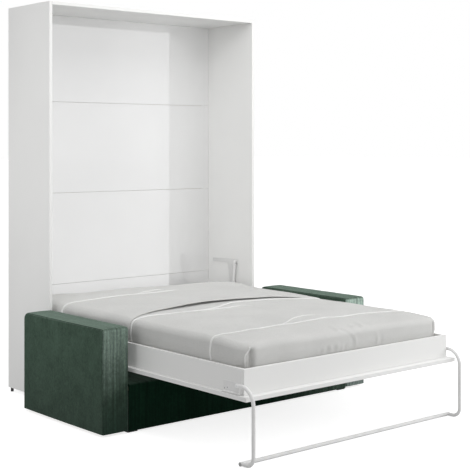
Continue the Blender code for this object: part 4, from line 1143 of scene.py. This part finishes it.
def arm_panel(low, high, face_x, way):
    """A closed side panel whose ribs run up: each row of its grid is one place along the arm."""
    first, last, height = low.y + SEAM, high.y - SEAM, high.z - SEAM - low.z
    columns, ribs = rib_columns(first, last, NEAR_SEAM)
    tops = arm_tops(columns, first, last, high.z - SEAM)[:, None]
    z = low.z + edge_steps(height, 0.045) * (tops - low.z) / height
    y = np.broadcast_to(columns[:, None], z.shape)
    gap = np.minimum(np.minimum(y - first, last - y), tops - z)
    wave = 0.0010 * np.sin(7.3 * y + 3.1 * z) * np.cos(5.1 * z - 2.2 * y)
    swell = 0.0016 * np.sin(math.pi * (y - first) / (last - first)) ** 0.5
    pull = 0.0006 * np.sin(2 * math.pi * y / 0.041 + 5 * z) * np.exp(-gap / 0.020)
    rise = ribs[:, None] - RIB_HEIGHT + wave + swell - 0.0026 + pull
    x = face_x + way * (rise * smooth(gap / 0.008) - rolled(gap))
    points = np.dstack([x, y, z]).reshape(-1, 3)
    index = np.arange(z.size).reshape(z.shape)
    rim = np.concatenate([index[:, 0], index[-1, 1:], index[-2::-1, -1], index[0, -2:0:-1]])
    middle = np.array([0.0, (first + last) / 2, low.z])
    shrink = np.array([0.0, 1 - 2 * PANEL_DEPTH / (last - first), 1 - PANEL_DEPTH / height])
    inner = middle + (points[rim] - middle) * shrink
    inner[:, 0] = face_x - way * PANEL_DEPTH
    faces, rim, back = grid_faces(*z.shape), rim.tolist(), len(points)
    for k in range(len(rim)):
        m = (k + 1) % len(rim)
        faces.append((rim[k], rim[m], back + m, back + k))
    faces.append(tuple(range(back, back + len(rim))))
    return np.concatenate([points, inner]), faces


def ribbed_strip(path, columns, out, ends, depths):
    """A closed strip along a path of places and ways in Y and Z: its face stands out by so much
    at each column, and its back lies between two ends across, at a depth under the path."""
    rows, across = out.shape
    places, ways = np.array(path)[:, None, :2], np.array(path)[:, None, 2:]
    face = np.dstack([np.broadcast_to(columns, out.shape), places + ways * out[:, :, None]])
    under = np.repeat(places - ways * np.array(depths)[:, None, None], 2, axis=1)
    under = np.dstack([np.broadcast_to(ends, (rows, 2)), under])
    faces, back = grid_faces(rows, across), rows * across
    for r in range(rows - 1):
        a, b, c, d = r * across, (r + 1) * across, back + 2 * r, back + 2 * r + 2
        faces += [(a, b, d, c), (b - 1, c + 1, d + 1, b + across - 1), (c, d, d + 1, c + 1)]
    for r in (0, rows - 1):
        row = range(r * across, (r + 1) * across)
        faces.append((*row, back + 2 * r + 1, back + 2 * r))
    return np.concatenate([face.reshape(-1, 3), under.reshape(-1, 3)]), faces


def arm_strip(low, high):
    """The strip that wraps the arm's front, top and back."""
    front, rear = ARM_FRONT_RADIUS, ARM_REAR_RADIUS
    path = [(low.y, low.z + z, -1.0, 0.0) for z in edge_steps(high.z - front - low.z, 0.06)[:-1]]
    path += [(low.y + inset, z, -out, up) for inset, z, out, up in rounding(front, high.z, 8)]
    path += [(y, high.z, 0.0, 1.0) for y in np.linspace(low.y + front, high.y - rear, 22)[1:-1]]
    bend = rounding(rear, high.z, 8)[::-1]
    path += [(high.y - inset, z, out, up) for inset, z, out, up in bend]
    for z in edge_steps(high.z - rear - low.z, 0.06)[1:]:
        path.append((high.y, high.z - rear - z, 1.0, 0.0))
    first, last = low.x + SEAM, high.x - SEAM
    columns, ribs = rib_columns(first, last, NEAR_SEAM)
    along = run([place[:2] for place in path])[:, None]
    gap = np.minimum(columns - first, last - columns)
    middle = np.sin(math.pi * (columns - first) / (last - first))
    wave = 0.0008 * (np.sin(9 * along + 2.0) + 1) * middle - 0.0016
    pull = 0.0006 * np.sin(2 * math.pi * along / 0.043 + 1.0) * np.exp(-gap / 0.015)
    out = (ribs - RIB_HEIGHT + wave + pull) * smooth(gap / 0.008) - rolled(gap)
    ends = first + PANEL_DEPTH, last - PANEL_DEPTH
    return ribbed_strip(path, columns, out, ends, [PANEL_DEPTH] * len(path))


def make_arm(side):
    low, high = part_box(f"sofa_arm_cover_{side}")
    panels = [arm_panel(low, high, low.x, -1), arm_panel(low, high, high.x, 1)]
    points, faces = merged([*panels, arm_strip(low, high)])
    item = add_piece(
        f"arm_upholstery_{side}", points, faces, CORDUROY[side, "Y"], "base", "green_corduroy",
        (f"sofa_arm_cover_{side}", f"sofa_arm_block_{side}"), 70,
    )
    item.data.materials.append(CORDUROY[side, "X"])
    panel_faces = sum(len(loops) for _, loops in panels)
    for polygon in item.data.polygons[panel_faces:]:
        polygon.material_index = 1


def make_seat():
    low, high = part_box("seat_cover")
    radius, end = SEAT_RADIUS, SEAT_END_RADIUS
    heights = np.linspace(low.z - SKIRT_DROP, high.z - radius, 6)[:-1]
    path = [(low.y, z, -1.0, 0.0) for z in heights]
    path += [(low.y + inset, z, -out, up) for inset, z, out, up in rounding(radius, high.z, 7)]
    path += [(y, high.z, 0.0, 1.0) for y in np.linspace(low.y + radius, high.y, 14)[1:]]
    first, last = low.x + SEAT_GAP, high.x - SEAT_GAP
    columns, ribs = rib_columns(first, last, (0.001, 0.003))
    inside = np.clip(end - np.minimum(columns - first, last - columns), 0, end)
    ends = end - np.sqrt(np.maximum(end**2 - inside**2, 0))
    share = (np.arange(len(path)) / (len(path) - 1))[:, None]
    middle = np.sin(math.pi * (columns - first) / (last - first)) ** 0.5
    wave = 0.0012 * np.sin(5.3 * columns + 9 * share) * np.cos(3.1 * columns - 4 * share) * middle
    out = ribs - RIB_HEIGHT - ends - 0.0012 + wave
    depths = [SEAT_DEPTHS[int(up >= 0.5)] for *_, up in path]
    points, faces = ribbed_strip(path, columns, out, (first, last), depths)
    item = add_piece(
        "seat_upholstery", points, faces, SEAT_CORDUROY, "base", "green_corduroy",
        ("seat_cover",), 70,
    )


# Small fittings


def lathe(profile, place, way, sides):
    """A turned shape along a direction, from radius and distance pairs."""
    way = Vector(way).normalized()
    side = way.orthogonal().normalized()
    other = way.cross(side)
    points = []
    for radius, far in profile:
        for s in range(sides):
            turn = 2 * math.pi * s / sides
            out = side * math.cos(turn) + other * math.sin(turn)
            points.append(Vector(place) + way * far + out * radius)
    return points, ring_faces(len(profile), sides)


def screw_head(place, way):
    """A pan head with a cross-shaped recess, which its last two rings draw."""
    r = SCREW_RADIUS
    profile = [(r, 0.0), (r, 0.0008), (r * 0.92, 0.0016), (r * 0.75, 0.0022)]
    profile += [(r * 0.46, 0.0025), (r * 0.40, 0.0012), (r * 0.10, 0.0008)]
    points, faces = lathe(profile, place, way, SCREW_SIDES)
    way, centre = Vector(way).normalized(), Vector(place)
    for index in range(5 * SCREW_SIDES, len(points)):
        offset = points[index] - centre
        flat = offset - way * offset.dot(way)
        points[index] = centre + way * offset.dot(way) + flat * (0.45 if index % 4 else 1.0)
    return points, faces


def make_fittings():
    for side, sign in SIDES:
        way = (sign, 0, 0)
        low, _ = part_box(f"leg_bracket_{side}")
        places = [(sign * SCREW_X, low.y + y, low.z + z) for y, z in SCREW_PLACES]
        points, faces = merged([screw_head(place, way) for place in places])
        add_piece(f"bracket_screws_{side}", points, faces, SCREW, "bed", "zinc_steel", (), 40)
        low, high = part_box("leg_bar")
        end = (high.x if sign > 0 else low.x, (low.y + high.y) / 2, (low.z + high.z) / 2)
        points, faces = lathe(PLUG_PROFILE, end, way, 24)
        add_piece(f"bar_plug_{side}", points, faces, PLUG, "leg", "black_plastic", (), 40)


# Camera, light and floor


def placed(name, data):
    item = bpy.data.objects.new(name, data)
    bpy.context.scene.collection.objects.link(item)
    return item


def make_camera():
    lens = bpy.data.cameras.new("camera")
    lens.lens = CAMERA_LENS
    lens.sensor_width = CAMERA_SENSOR
    lens.shift_y = CAMERA_SHIFT
    lens.clip_end = CAMERA_REACH
    camera = placed("camera", lens)
    camera.location = CAMERA_PLACE
    camera.rotation_euler = (math.radians(90), 0, math.radians(-CAMERA_TURN))
    bpy.context.scene.camera = camera


def make_light():
    """A soft studio, which the camera and mirrors see white, and lamps."""
    world = bpy.data.worlds.new("studio")
    world.use_nodes = True
    world.node_tree.nodes.clear()
    bpy.context.scene.world = world
    sky, white = Nodes(world.node_tree), (1.0, 1.0, 1.0, 1.0)
    rays = sky.add("LightPath").outputs
    mirrored = sky.math("MAXIMUM", rays["Is Glossy Ray"], rays["Is Transmission Ray"])
    seen = sky.math("MAXIMUM", rays["Is Camera Ray"], mirrored)
    soft = sky.add("Background", {"Color": white, "Strength": AMBIENT}).outputs[0]
    plain = sky.add("Background", {"Color": white, "Strength": 1.0}).outputs[0]
    mix = sky.add("MixShader", {0: seen, 1: soft, 2: plain}).outputs[0]
    sky.add("OutputWorld", {"Surface": mix})
    for name, place, target, size, spread, power in LAMPS:
        lamp = bpy.data.lights.new(name, "AREA")
        lamp.shape = "RECTANGLE"
        lamp.size, lamp.size_y = size
        lamp.energy = power
        lamp.spread = math.radians(spread)
        item = placed(name, lamp)
        item.location = place
        way = Vector(target) - Vector(place)
        item.rotation_euler = way.to_track_quat("-Z", "Y").to_euler()
        item.visible_camera = False
        item.visible_glossy = name == "above"


def make_floor():
    """Seen directly the floor glows a little, and a mirror sees it as white as the studio."""
    mesh = bpy.data.meshes.new("floor")
    corners = ((-1, -1), (1, -1), (1, 1), (-1, 1))
    points = [(x * FLOOR_REACH, y * FLOOR_REACH, 0) for x, y in corners]
    mesh.from_pydata(points, [], [(0, 1, 2, 3)])
    item = Finish("floor", Roughness=0.9, Specular_IOR_Level=0.0)
    tone = item.share(item.noise(0.8), 0.3, 0.7)
    item.finish(item.blend(tone, (0.61, 0.61, 0.61), (0.63, 0.63, 0.63)))
    rays = item.add("LightPath").outputs
    strength = item.math("MULTIPLY", rays["Is Camera Ray"], FLOOR_GLOW)
    glow = item.add("Emission", {"Strength": strength}).outputs[0]
    lit = item.add("AddShader", {0: item.shader.outputs[0], 1: glow}).outputs[0]
    white = item.add("Emission", {"Strength": MIRRORED_FLOOR}).outputs[0]
    shown = item.add("MixShader", {0: rays["Is Glossy Ray"], 1: lit, 2: white}).outputs[0]
    item.join(shown, item.tree.nodes["Material Output"].inputs["Surface"])
    mesh.materials.append(item.material)
    placed("floor", mesh)


bpy.context.scene.view_settings.view_transform = "Standard"
make_camera()
make_light()
make_floor()
dress_nodes()
make_bedding()
for arm_side, _ in SIDES:
    make_arm(arm_side)
make_seat()
make_fittings()
